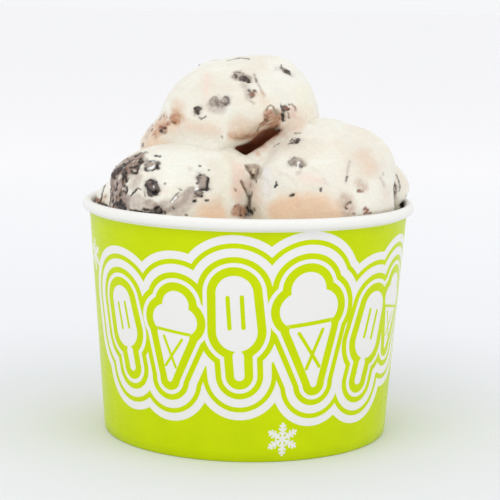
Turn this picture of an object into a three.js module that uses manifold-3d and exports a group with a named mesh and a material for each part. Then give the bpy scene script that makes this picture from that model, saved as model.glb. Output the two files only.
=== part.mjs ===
// A paper pint tub heaped with scoops of ice cream with biscuit pieces.
// Units are millimetres and +Z is up. The origin is on the tub's axis, in the plane that it stands on.
// The front, as it is shown, faces -Y.
import * as THREE from "three";
import { mergeVertices } from "three/addons/utils/BufferGeometryUtils.js";
import Module from "manifold-3d";

// Tub
const TUB_HEIGHT = 78.75;
const RIM_RADIUS = 56.0;
const ROLL_HEIGHT = 3.6;
const ROLL_WIDTH = 3.0;
const ROLL_FROM = -100;
const ROLL_TO = 165;
const ROLL_STEPS = 9;
const WALL_TOP_RADIUS = 53.66;
const WALL_FOOT_RADIUS = 48.24;
const PAPER = 0.6;
const GAP = 0.3;
const FOOT_ROUND = 0.4;
const RIM_FLARE = 0.6;
const SIDES = 60;

// Base disc and the fold that holds it
const FLANGE_PAPER = 0.5;
const FLANGE_FOOT = 0.9;
const BASE_TOP = 6.6;
const BASE_ROUND = 0.6;
const FOLD_TOP = 5.5;

// Glued side seam
const SEAM_ANGLE = 98;
const SEAM_WIDTH = 8;
const SEAM_THICKNESS = 0.35;
const SEAM_FOOT = 0.6;
const SEAM_BELOW_ROLL = 0.8;

// Ice cream
const BED_LEVEL = 74.6;
const BED_WAVE = 1.0;
const BED_WAVE_LENGTHS = [5.3, 4.7, 9];
const BED_RINGS = 7;
const BED_ROUND = 1.0;
const FILL_RADIUS_FOOT = 47.3;
const FILL_RADIUS_RIM = 52.9;
const FILL_LEVEL = 78.5;
const OVERHANG_SLOPE = 0.9;
const BLEND = 3.0;
const EDGE_BLEND = 1.5;
const RIPPLE = 0.35;
const RIPPLE_LENGTHS = [3.1, 4.3, 3.7, 2.9, 6.1];
const SEAT_LEVEL = 71.5;
const SCOOP_DETAIL = 7;
const FARTHEST = 60;
const CLOSE_ENOUGH = 0.01;
const CAREFUL_STEP = 0.7;

// Biscuit pieces
const RANDOM_SEED = 7;
const CHUNK_RISE = 0.45;
const CHUNK_THICKNESS = 0.8;
const CHUNK_LEAST = 0.85;
const CHUNK_MOST = 1.15;
const CHUNK_CLEARANCE = 3;
const BACK_CHUNKS = 3;
const BACK_AZIMUTHS = [20, 160];
const BACK_HEIGHTS = [8, 42];
const BACK_LENGTHS = [3, 5];
const BACK_WIDTHS = [2.4, 3.6];
const BACK_TURNS = [0, 90];

const CREAM = 0xf1ece0;
const GREEN = 0xc5e000;
const WHITE = 0xf2f1ec;

// Each scoop is a blend of balls (centre, radii) and rods (from, to, radius), less its hollows.
// Its heart is the point that its surface is seen from in every direction, and its seat the level of its foot.
const SCOOPS = {
  scoop_front_left: {
    heart: [-21, -17, 78],
    balls: [
      [-22.3, -18, 76.5, 23.3, 24.3, 22.4],
      [-32.6, -20, 86, 12.4, 14, 10.3],
      [-12.5, -18.5, 84, 14, 14, 14.6],
    ],
    rods: [
      [-9, -21.5, 95.5, -0.5, -24, 90.8, 3.2],
      [-0.5, -24, 90.8, 6, -23, 91.2, 3],
    ],
  },
  scoop_front_right: {
    heart: [24, -16, 82],
    balls: [
      [23.5, -18.5, 80, 24.2, 24.2, 24.2],
      [25.5, -10, 87, 17, 18, 20.3],
      [35.5, -11, 90, 13, 14, 14.5],
    ],
    rods: [[16, -15, 102.5, 2, -22, 92.5, 3.8]],
  },
  scoop_rear_left: {
    heart: [-26, 17, 74],
    balls: [
      [-22, 20, 74, 24, 23, 22.5],
      [-39.5, 7, 71, 15, 18, 14.5],
    ],
  },
  scoop_rear_right: {
    heart: [29, 16, 76],
    balls: [
      [22, 21, 75, 24, 23, 23.5],
      [33, 14, 72, 20, 20, 19],
      [44.2, 8, 81, 11, 14, 11],
    ],
  },
  scoop_top: {
    seat: 80,
    heart: [-2, 3, 105],
    balls: [
      [-4, 1, 98, 28.2, 28, 28.6],
      [-22, -1, 95.5, 14.8, 15, 11.5],
      [6, 2, 106, 16.8, 17, 20.6],
      [1.5, -17, 108.5, 11.5, 12, 9.5],
    ],
    hollowBalls: [
      [5, -20, 87, 17, 18, 13],
      [8.5, -22, 95, 8.5, 16, 9.3],
    ],
    hollowRods: [[-4, -28, 93, 19, -26, 106.5, 6.8]],
  },
};

// Large biscuit pieces that show from the front: azimuth and height angle from the scoop's heart,
// then length, width and turn. Azimuth 0 looks out along +X and -90 to the front.
const CHUNKS = {
  scoop_front_left: [
    [-114.3, 19.2, 5, 4.2, -40],
    [-71.1, 25.8, 5.4, 3, -72],
    [-77.1, 15.5, 2.8, 2, 0],
    [-121.8, 36.8, 4.8, 2.8, 20],
    [-156, 26, 4.2, 2.8, 60],
    [-105.8, 3.8, 2.6, 2.4, 0],
  ],
  scoop_front_right: [
    [-131.3, 52.8, 3.2, 2, 15],
    [-114.8, 30.3, 3.8, 2.2, -20],
  ],
  scoop_rear_left: [],
  scoop_rear_right: [[-32.9, 3.1, 3.2, 2.4, 20]],
  scoop_top: [
    [-93.1, 38, 5.6, 3, -20],
    [-84.7, 19.9, 2.2, 2, 30],
    [-34.9, 46.4, 4, 1.6, -45],
    [-102.9, 16.1, 2.8, 2.6, 10],
    [-110.3, 15.4, 3.2, 2.6, 60],
    [-122, 8.6, 2, 2.2, 0],
    [-149.1, -4.9, 2.4, 2, 20],
    [-139.1, 3, 3.4, 2.8, 10],
    [-62.4, 11.5, 2.6, 2, 15],
    [-63.7, 5.2, 1.8, 2.4, 0],
  ],
};

const wasm = await Module();
wasm.setup();

const degrees = THREE.MathUtils.degToRad;
const mix = THREE.MathUtils.lerp;

// Joins and cuts

function solidOf(geometry) {
  const bare = geometry.clone();
  bare.deleteAttribute("normal");
  bare.deleteAttribute("uv");
  const merged = mergeVertices(bare, 1e-4);
  return new wasm.Manifold(
    new wasm.Mesh({
      numProp: 3,
      vertProperties: new Float32Array(merged.attributes.position.array),
      triVerts: new Uint32Array(merged.index.array),
    }),
  );
}

function geometryOf(solid) {
  const mesh = solid.getMesh();
  const geometry = new THREE.BufferGeometry();
  geometry.setAttribute("position", new THREE.BufferAttribute(new Float32Array(mesh.vertProperties), 3));
  geometry.setIndex(new THREE.BufferAttribute(new Uint32Array(mesh.triVerts), 1));
  geometry.computeVertexNormals();
  return geometry;
}

function largestBody(solid) {
  return solid.decompose().reduce((most, body) => (body.volume() > most.volume() ? body : most));
}

// A profile of [radius, height] points turned about +Z.
function turned(profile) {
  const points = profile.map(([radius, height]) => new THREE.Vector2(radius, height));
  return new THREE.LatheGeometry(points, SIDES).rotateX(Math.PI / 2);
}

// Tub

function wallRadius(height) {
  return mix(WALL_FOOT_RADIUS, WALL_TOP_RADIUS, height / (TUB_HEIGHT - ROLL_HEIGHT));
}

function innerRadius(height) {
  return wallRadius(height) - PAPER;
}

function flangeRadius(height) {
  return innerRadius(height) - GAP;
}

function foldRadius(height) {
  return flangeRadius(height) - FLANGE_PAPER - GAP;
}

function rolledRim() {
  const centre = RIM_RADIUS - ROLL_WIDTH / 2;
  const middle = TUB_HEIGHT - ROLL_HEIGHT / 2;
  return Array.from({ length: ROLL_STEPS + 1 }, (_, i) => {
    const turn = degrees(mix(ROLL_FROM, ROLL_TO, i / ROLL_STEPS));
    return [centre + (ROLL_WIDTH / 2) * Math.cos(turn), middle + (ROLL_HEIGHT / 2) * Math.sin(turn)];
  });
}

function wallProfile() {
  const neck = TUB_HEIGHT - ROLL_HEIGHT;
  return [
    [wallRadius(FOOT_ROUND), FOOT_ROUND],
    [wallRadius(neck - RIM_FLARE), neck - RIM_FLARE],
    ...rolledRim(),
    [innerRadius(neck), neck],
    [innerRadius(PAPER), PAPER],
    [foldRadius(PAPER), PAPER],
    [foldRadius(FOLD_TOP), FOLD_TOP],
    [foldRadius(FOLD_TOP) - PAPER, FOLD_TOP],
    [foldRadius(0) - PAPER, 0],
    [wallRadius(0) - FOOT_ROUND, 0],
    [wallRadius(FOOT_ROUND), FOOT_ROUND],
  ];
}

// A thin strip bent round the wall where the paper laps over itself.
function seamStrip() {
  const top = TUB_HEIGHT - ROLL_HEIGHT - SEAM_BELOW_ROLL;
  const strip = new THREE.BoxGeometry(SEAM_WIDTH, SEAM_THICKNESS + PAPER / 2, top - SEAM_FOOT, 4, 1, 1);
  const spots = strip.attributes.position;
  for (let i = 0; i < spots.count; i++) {
    const height = spots.getZ(i) + (top + SEAM_FOOT) / 2;
    const proud = spots.getY(i) > 0 ? SEAM_THICKNESS : -PAPER / 2;
    const radius = wallRadius(height) + proud;
    const angle = degrees(SEAM_ANGLE) - spots.getX(i) / WALL_TOP_RADIUS;
    spots.setXYZ(i, radius * Math.cos(angle), radius * Math.sin(angle), height);
  }
  return strip;
}

function tubWall() {
  return solidOf(turned(wallProfile())).add(solidOf(seamStrip()));
}

function tubBase() {
  const under = BASE_TOP - FLANGE_PAPER;
  return solidOf(
    turned([
      [0, under],
      [flangeRadius(under) - FLANGE_PAPER - BASE_ROUND, under],
      [flangeRadius(under) - FLANGE_PAPER, under - BASE_ROUND],
      [flangeRadius(FLANGE_FOOT) - FLANGE_PAPER, FLANGE_FOOT],
      [flangeRadius(FLANGE_FOOT), FLANGE_FOOT],
      [flangeRadius(under), under],
      [flangeRadius(BASE_TOP) - BASE_ROUND, BASE_TOP],
      [0, BASE_TOP],
    ]),
  );
}

// Distances to the ice cream's surface

function ballDistance(p, [x, y, z, rx, ry, rz]) {
  const inUnits = Math.hypot((p.x - x) / rx, (p.y - y) / ry, (p.z - z) / rz);
  const slope = Math.hypot((p.x - x) / rx ** 2, (p.y - y) / ry ** 2, (p.z - z) / rz ** 2);
  return (inUnits * (inUnits - 1)) / Math.max(slope, 1e-9);
}

function rodDistance(p, [x0, y0, z0, x1, y1, z1, radius]) {
  const line = new THREE.Line3(new THREE.Vector3(x0, y0, z0), new THREE.Vector3(x1, y1, z1));
  return line.closestPointToPoint(p, true, new THREE.Vector3()).distanceTo(p) - radius;
}

function blendedLeast(a, b, width) {
  const near = Math.max(width - Math.abs(a - b), 0) / width;
  return Math.min(a, b) - (near * near * width) / 4;
}

function blendedMost(a, b, width) {
  return -blendedLeast(-a, -b, width);
}

// How far a point is outside the room that the tub leaves.
function outsideTub(p) {
  const radius = Math.hypot(p.x, p.y);
  const limit =
    p.z < FILL_LEVEL
      ? mix(FILL_RADIUS_FOOT, FILL_RADIUS_RIM, p.z / FILL_LEVEL)
      : FILL_RADIUS_RIM + (p.z - FILL_LEVEL) * OVERHANG_SLOPE;
  return (radius - limit) / Math.hypot(1, OVERHANG_SLOPE);
}

function ripple(p) {
  const [a, b, c, d, e] = RIPPLE_LENGTHS;
  return RIPPLE * (Math.sin(p.x / a + p.z / b) + Math.sin(p.y / c - p.z / d + p.x / e));
}

function scoopDistance(p, scoop) {
  let distance = Infinity;
  for (const ball of scoop.balls) distance = blendedLeast(distance, ballDistance(p, ball), BLEND);
  for (const rod of scoop.rods ?? []) distance = blendedLeast(distance, rodDistance(p, rod), BLEND);
  for (const ball of scoop.hollowBalls ?? []) distance = blendedMost(distance, -ballDistance(p, ball), BLEND);
  for (const rod of scoop.hollowRods ?? []) distance = blendedMost(distance, -rodDistance(p, rod), BLEND);
  return blendedMost(distance + ripple(p), outsideTub(p), EDGE_BLEND);
}

// The outermost point of a scoop's surface from its heart in a direction, grown outward.
function surfacePoint(scoop, direction, grow) {
  const heart = new THREE.Vector3(...scoop.heart);
  const p = new THREE.Vector3();
  let reach = FARTHEST;
  while (reach > 0) {
    p.copy(heart).addScaledVector(direction, reach);
    const distance = scoopDistance(p, scoop) - grow;
    if (distance < CLOSE_ENOUGH) break;
    reach -= Math.max(distance * CAREFUL_STEP, CLOSE_ENOUGH);
  }
  return p;
}

function scoopBody(scoop, grow) {
  const ball = new THREE.IcosahedronGeometry(1, SCOOP_DETAIL);
  const spots = ball.attributes.position;
  const direction = new THREE.Vector3();
  for (let i = 0; i < spots.count; i++) {
    direction.fromBufferAttribute(spots, i).normalize();
    const p = surfacePoint(scoop, direction, grow);
    spots.setXYZ(i, p.x, p.y, p.z);
  }
  return solidOf(ball);
}

// Biscuit pieces

function randomNumbers(seed) {
  let state = seed;
  return () => {
    state = (state * 1664525 + 1013904223) % 4294967296;
    return state / 4294967296;
  };
}

// A direction given by its azimuth and height angle.
function outward(azimuth, height) {
  const [turn, rise] = [degrees(azimuth), degrees(height)];
  return new THREE.Vector3(Math.cos(rise) * Math.cos(turn), Math.cos(rise) * Math.sin(turn), Math.sin(rise));
}

// An uneven lump half sunk in a scoop's surface, grown outward.
function chunkBody(scoop, [azimuth, height, length, width, turn], grow) {
  const random = randomNumbers(Math.abs(Math.round(1000 * azimuth + height)));
  const lump = new THREE.IcosahedronGeometry(0.5, 0);
  lump.deleteAttribute("normal");
  lump.deleteAttribute("uv");
  const stone = mergeVertices(lump, 1e-4);
  const spots = stone.attributes.position;
  for (let i = 0; i < spots.count; i++) {
    const uneven = mix(CHUNK_LEAST, CHUNK_MOST, random());
    spots.setXYZ(i, spots.getX(i) * uneven, spots.getY(i) * uneven, spots.getZ(i) * uneven);
  }
  const thickness = Math.min(length, width) * CHUNK_THICKNESS;
  const [sizeX, sizeY, sizeZ] = [length, width, thickness].map((size) => size + CHUNK_CLEARANCE * grow);
  stone.scale(sizeX, sizeY, sizeZ).rotateZ(degrees(turn));
  const out = outward(azimuth, height);
  const upright = new THREE.Matrix4().lookAt(out, new THREE.Vector3(), new THREE.Vector3(0, 0, 1));
  const place = surfacePoint(scoop, out, 0).addScaledVector(out, thickness * (CHUNK_RISE - 0.5));
  stone.applyMatrix4(upright.setPosition(place));
  return solidOf(stone);
}

// Pieces on the side that the photo doesn't show.
function backChunks(random) {
  return Array.from({ length: BACK_CHUNKS }, (_, i) => [
    mix(...BACK_AZIMUTHS, (i + random()) / BACK_CHUNKS),
    mix(...BACK_HEIGHTS, random()),
    mix(...BACK_LENGTHS, random()),
    mix(...BACK_WIDTHS, random()),
    mix(...BACK_TURNS, random()),
  ]);
}

// All that is below the level that the scoops are pressed down to.
function belowSeat(level) {
  const wide = 2 * RIM_RADIUS;
  return solidOf(new THREE.BoxGeometry(wide, wide, level).translate(0, 0, level / 2));
}

// A scoop with the pieces that lie in its surface and a flat foot, grown outward.
function scoopWithChunks(scoop, places, grow) {
  const whole = places.reduce((sum, place) => sum.add(chunkBody(scoop, place, grow)), scoopBody(scoop, grow));
  return whole.subtract(belowSeat((scoop.seat ?? SEAT_LEVEL) - grow));
}

// Ice cream that fills the tub below the scoops, with a wavy top.
function bedBody() {
  const foot = BASE_TOP + GAP;
  const rim = flangeRadius(BED_LEVEL) - GAP / 2;
  const rings = Array.from({ length: BED_RINGS }, (_, i) => [rim * (1 - i / BED_RINGS), BED_LEVEL]);
  const bed = turned([
    [0, foot],
    [flangeRadius(foot) - BED_ROUND, foot],
    [flangeRadius(foot + BED_ROUND), foot + BED_ROUND],
    ...rings,
    [0, BED_LEVEL],
  ]);
  const spots = bed.attributes.position;
  for (let i = 0; i < spots.count; i++) {
    if (spots.getZ(i) < BED_LEVEL - BED_WAVE) continue;
    const [x, y] = [spots.getX(i), spots.getY(i)];
    const [a, b, c] = BED_WAVE_LENGTHS;
    spots.setZ(i, BED_LEVEL + BED_WAVE * (Math.sin(x / a + 1) + Math.sin(y / b - x / c)));
  }
  return solidOf(bed);
}

// The wall with the gap round it, and all that is outside.
function wallRoom() {
  const neck = TUB_HEIGHT - ROLL_HEIGHT;
  const top = TUB_HEIGHT + GAP;
  const outside = 2 * RIM_RADIUS;
  return solidOf(
    turned([
      [outside, 0],
      [outside, top],
      [flangeRadius(neck), top],
      [flangeRadius(neck), neck],
      [flangeRadius(0), 0],
      [outside, 0],
    ]),
  );
}

// Each scoop is cut clear of the wall and the scoops before it, and the bed of them all.
function iceCream() {
  const random = randomNumbers(RANDOM_SEED);
  const bodies = {};
  let taken = wallRoom();
  for (const [name, scoop] of Object.entries(SCOOPS)) {
    const places = [...(CHUNKS[name] ?? []), ...backChunks(random)];
    bodies[name] = largestBody(scoopWithChunks(scoop, places, 0).subtract(taken));
    taken = taken.add(scoopWithChunks(scoop, places, GAP));
  }
  bodies.ice_cream_bed = largestBody(bedBody().subtract(taken));
  return bodies;
}

function node(name, solid, color, roughness) {
  const material = new THREE.MeshStandardMaterial({ color, roughness, metalness: 0 });
  const mesh = new THREE.Mesh(geometryOf(solid), material);
  mesh.name = name;
  return mesh;
}

const tub = new THREE.Group();
tub.add(node("cup_wall", tubWall(), GREEN, 0.45));
tub.add(node("cup_base", tubBase(), WHITE, 0.6));

const contents = new THREE.Group();
for (const [name, solid] of Object.entries(iceCream())) contents.add(node(name, solid, CREAM, 0.5));

const pint = new THREE.Group();
pint.add(tub, contents);

export default pint;
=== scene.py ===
"""A paper pint tub heaped with scoops of ice cream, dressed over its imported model.

Lengths are in millimetres, apart from those that say otherwise.
"""

import itertools
import math

import bpy
import numpy as np
import openvdb
from mathutils import Matrix, Vector


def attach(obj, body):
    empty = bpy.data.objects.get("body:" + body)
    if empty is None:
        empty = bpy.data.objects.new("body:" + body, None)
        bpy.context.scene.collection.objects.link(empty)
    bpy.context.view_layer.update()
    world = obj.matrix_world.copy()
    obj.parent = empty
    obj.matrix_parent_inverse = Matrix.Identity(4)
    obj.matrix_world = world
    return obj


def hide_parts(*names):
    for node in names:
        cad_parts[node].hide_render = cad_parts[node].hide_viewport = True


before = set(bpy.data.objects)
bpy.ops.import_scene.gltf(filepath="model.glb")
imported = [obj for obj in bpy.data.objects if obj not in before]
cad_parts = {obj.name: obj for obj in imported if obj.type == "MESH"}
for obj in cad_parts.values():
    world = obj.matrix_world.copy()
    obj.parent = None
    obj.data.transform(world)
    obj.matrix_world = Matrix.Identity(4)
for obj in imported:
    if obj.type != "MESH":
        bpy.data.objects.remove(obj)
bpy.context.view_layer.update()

MM = 0.001
FAR = 1000.0
SEED = 11

# Tub, as in the model
TUB_HEIGHT = 78.75
RIM_RADIUS = 56.0
ROLL_HEIGHT = 3.6
ROLL_WIDTH = 3.0
NECK = TUB_HEIGHT - ROLL_HEIGHT
WALL_TOP_RADIUS = 53.66
WALL_FOOT_RADIUS = 48.24
PAPER = 0.6
GAP = 0.3
FOOT_ROUND = 0.4
RIM_FLARE = 0.6
ROLL_FROM = -100
ROLL_TO = 165
FLANGE_PAPER = 0.5
BASE_TOP = 6.6
FOLD_TOP = 5.5
SEAM_ANGLE = 98
SEAM_WIDTH = 8
SEAM_THICKNESS = 0.35
SEAM_EDGE = 0.05
AROUND = 288
WALL_POINTS = 24
ROLL_POINTS = 25

# The wall's map for baking: where its two rows and its strip start, and how high they are
MAP_LOW = 0.005
MAP_STEP = 0.475
MAP_ROW = 0.465
MAP_STRIP_LOW = 0.955
MAP_STRIP = 0.04

# Ice cream, as in the model
BED_LEVEL = 74.6
BED_WAVE = 1.0
BED_FOOT = 68.0
SEAT_LEVEL = 71.5
FILL_RADIUS_FOOT = 47.3
FILL_RADIUS_RIM = 52.9
FILL_LEVEL = 78.5
OVERHANG_SLOPE = 0.9
BLEND = 3.0
EDGE_BLEND = 1.5
WELD = 0.9
LAP = 0.1
BAND = 1.3
CHUNK_ROOM = 4.0
COARSE = 3
SEARCH_FROM = 60.0
SEARCH_SHARE = 0.7
SEARCH_CLOSE = 0.01
VOXEL = 0.36
BED_VOXEL = 0.5
GRID_MARGIN = 5
SEAT_MARGIN = 2
BED_HEADROOM = 9
BED_DRAWN = 1
GRID_CLIP = 4.0

# Balls are centre and radii, rods are from, to and radius.
SCOOPS = {
    "scoop_front_left": {
        "heart": (-21, -17, 78),
        "balls": [
            (-22.3, -18, 76.5, 23.3, 24.3, 22.4),
            (-32.6, -20, 86, 12.4, 14, 10.3),
            (-12.5, -18.5, 84, 14, 14, 14.6),
        ],
        "rods": [(-9, -21.5, 95.5, -0.5, -24, 90.8, 3.2), (-0.5, -24, 90.8, 6, -23, 91.2, 3.0)],
    },
    "scoop_front_right": {
        "heart": (24, -16, 82),
        "balls": [
            (23.5, -18.5, 80, 24.2, 24.2, 24.2),
            (25.5, -10, 87, 17, 18, 20.3),
            (35.5, -11, 90, 13, 14, 14.5),
        ],
        "rods": [(16, -15, 102.5, 2, -22, 92.5, 3.8)],
    },
    "scoop_rear_left": {
        "heart": (-26, 17, 74),
        "balls": [(-22, 20, 74, 24, 23, 22.5), (-39.5, 7, 71, 15, 18, 14.5)],
    },
    "scoop_rear_right": {
        "heart": (29, 16, 76),
        "balls": [
            (22, 21, 75, 24, 23, 23.5),
            (33, 14, 72, 20, 20, 19),
            (44.2, 8, 81, 11, 14, 11),
        ],
    },
    "scoop_top": {
        "heart": (-2, 3, 105),
        "balls": [
            (-4, 1, 98, 28.2, 28, 28.6),
            (-22, -1, 95.5, 14.8, 15, 11.5),
            (6, 2, 106, 16.8, 17, 20.6),
            (1.5, -17, 108.5, 11.5, 12, 9.5),
        ],
        "hollow_balls": [(5, -20, 87, 17, 18, 13), (8.5, -22, 95, 8.5, 16, 9.3)],
        "hollow_rods": [(-4, -28, 93, 19, -26, 106.5, 6.8)],
        "seat": 80,
    },
}

# Relief in millimetres. Each swell is a depth, a size and the layer of its noise.
SWELLS = ((0.6, 13, 1), (0.34, 5.5, 2))
SCRAPE_SQUEEZE = (0.45, 1.0, 1.6)
SCRAPE_SWAY = 2
SCRAPE_LENGTH = 5.0
SCRAPE_DEPTH = 0.10
SCRAPE_SIZE = 1.7
GRAIN_DEPTH = 0.04
GRAIN_SIZE = 0.95
ROUGH_REACH = 8
ROUGH_FROM = 0.15
ROUGH_FULL = 0.6
ROUGH_DEPTH = 0.22
ROUGH_SIZE = 2.1
PIT_DEPTH = 0.45
PIT_NOISE = (1.5, 8)
FLANK_DEPTH = 0.3
CARAMEL_DEPTH = 0.35
GREY_DEPTH = 0.14

# Patches round the heap's sides: where each lies and how far it reaches. More are added at the back.
PATCHES = {
    "crumb": [
        (-47, -20, 85, 7),
        (-47, -22, 79, 6),
        (-43, -26, 86, 8),
        (-41, -28, 80.5, 6),
        (-37.5, -28.5, 93, 5),
        (-48, 16, 80, 5),
    ],
    "grey": [],
    "caramel": [(-30, -9, 104, 5), (-51, -4, 78, 3)],
    # The gap patch tints the hollow under the top scoop's lip brown: partly the chocolate there, partly
    # painted shade.
    "gap": [(4, -6, 95, 14)],
    "peach": [(-12, -38, 78, 5)],
    "white": [(19, -9, 115, 12), (-23, -33, 94, 8), (12, -10, 124, 9)],
}

# How softly each kind of patch ends, and which noise makes it uneven
PATCH_EDGES = {"peach": 0.6, "white": 0.6, "crumb": 0.25, "grey": 0.4, "caramel": 0.4, "gap": 0.35}
PATCH_LAYERS = {"peach": 16, "white": 19, "crumb": 30, "grey": 33, "caramel": 36, "gap": 42}
RELIEF_EDGE = 0.3

# How each kind of mark looks: its colour, how soft its edge is, how strong it is and how deep it lies
STYLES = {
    # Painted shade: broad beige that dims the top scoop and the right side of the front right scoop.
    "painted_shade": ((228, 218, 202), 3.0, 0.6, 0),
    "milk": ((241, 237, 225), 2.5, 0.7, 0),
    "tan": ((228, 205, 182), 2.0, 0.8, 0),
    "peach": ((236, 203, 171), 2.2, 0.85, 0),
    "pink": ((238, 217, 203), 1.8, 0.8, 0),
    "yellow": ((240, 237, 218), 2.0, 0.7, 0),
    "white": ((241, 241, 232), 1.8, 0.8, 0),
    "lilac": ((238, 236, 238), 1.8, 0.7, 0),
    # Toast: caramel colour in one mark, and painted shade under the top scoop's lip in the other.
    "toast_and_lip_shade": ((206, 167, 132), 1.2, 0.8, 0),
    "smear": ((148, 127, 119), 0.9, 0.85, 0),
    "taupe_soft": ((200, 176, 156), 1.4, 0.8, 0),
    "pale": ((196, 182, 169), 0.9, 0.75, 0),
    "rose_soft": ((224, 192, 176), 1.1, 0.8, 0),
    # Painted shade: dark brown along the lower edge of the top scoop's lip.
    "painted_lip_shade": ((138, 92, 64), 1.1, 0.7, 0),
    "rose": ((184, 138, 112), 0.7, 0.9, 0.05),
    "grey": ((169, 153, 140), 0.5, 0.8, 0.03),
    "taupe": ((172, 150, 130), 0.5, 0.85, 0.5),
    "chunk": ((104, 86, 80), 0.4, 0.9, 0),
    "umber_soft": ((136, 100, 72), 0.25, 0.85, 0.15),
    "rust_soft": ((184, 132, 96), 0.6, 0.8, 0),
    # Crease: a relief fold with painted shade along it.
    "crease": ((222, 212, 200), 0.8, 0.5, 0.4),
    # Groove: partly brown in the fold, partly painted shade.
    "groove": ((122, 98, 74), 0.3, 0.85, 0.7),
    "ash": ((106, 98, 92), 0.2, 0.85, 0.08),
    "olive": ((128, 118, 88), 0.5, 0.8, 0.1),
    "rust": ((140, 84, 58), 0.3, 0.85, 0.1),
    "umber": ((96, 74, 54), 0.3, 0.9, 0.1),
    "dark": ((62, 44, 38), 0.2, 0.9, 0.15),
    "cream": ((240, 228, 208), 0.3, 0.8, -0.1),
    "pit": ((28, 15, 11), 0.2, 0.97, 0.3),
    # Painted highlights: small white spots and lines, raised a little.
    "painted_highlight": ((253, 253, 252), 0.15, 0.95, -0.15),
}
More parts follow.
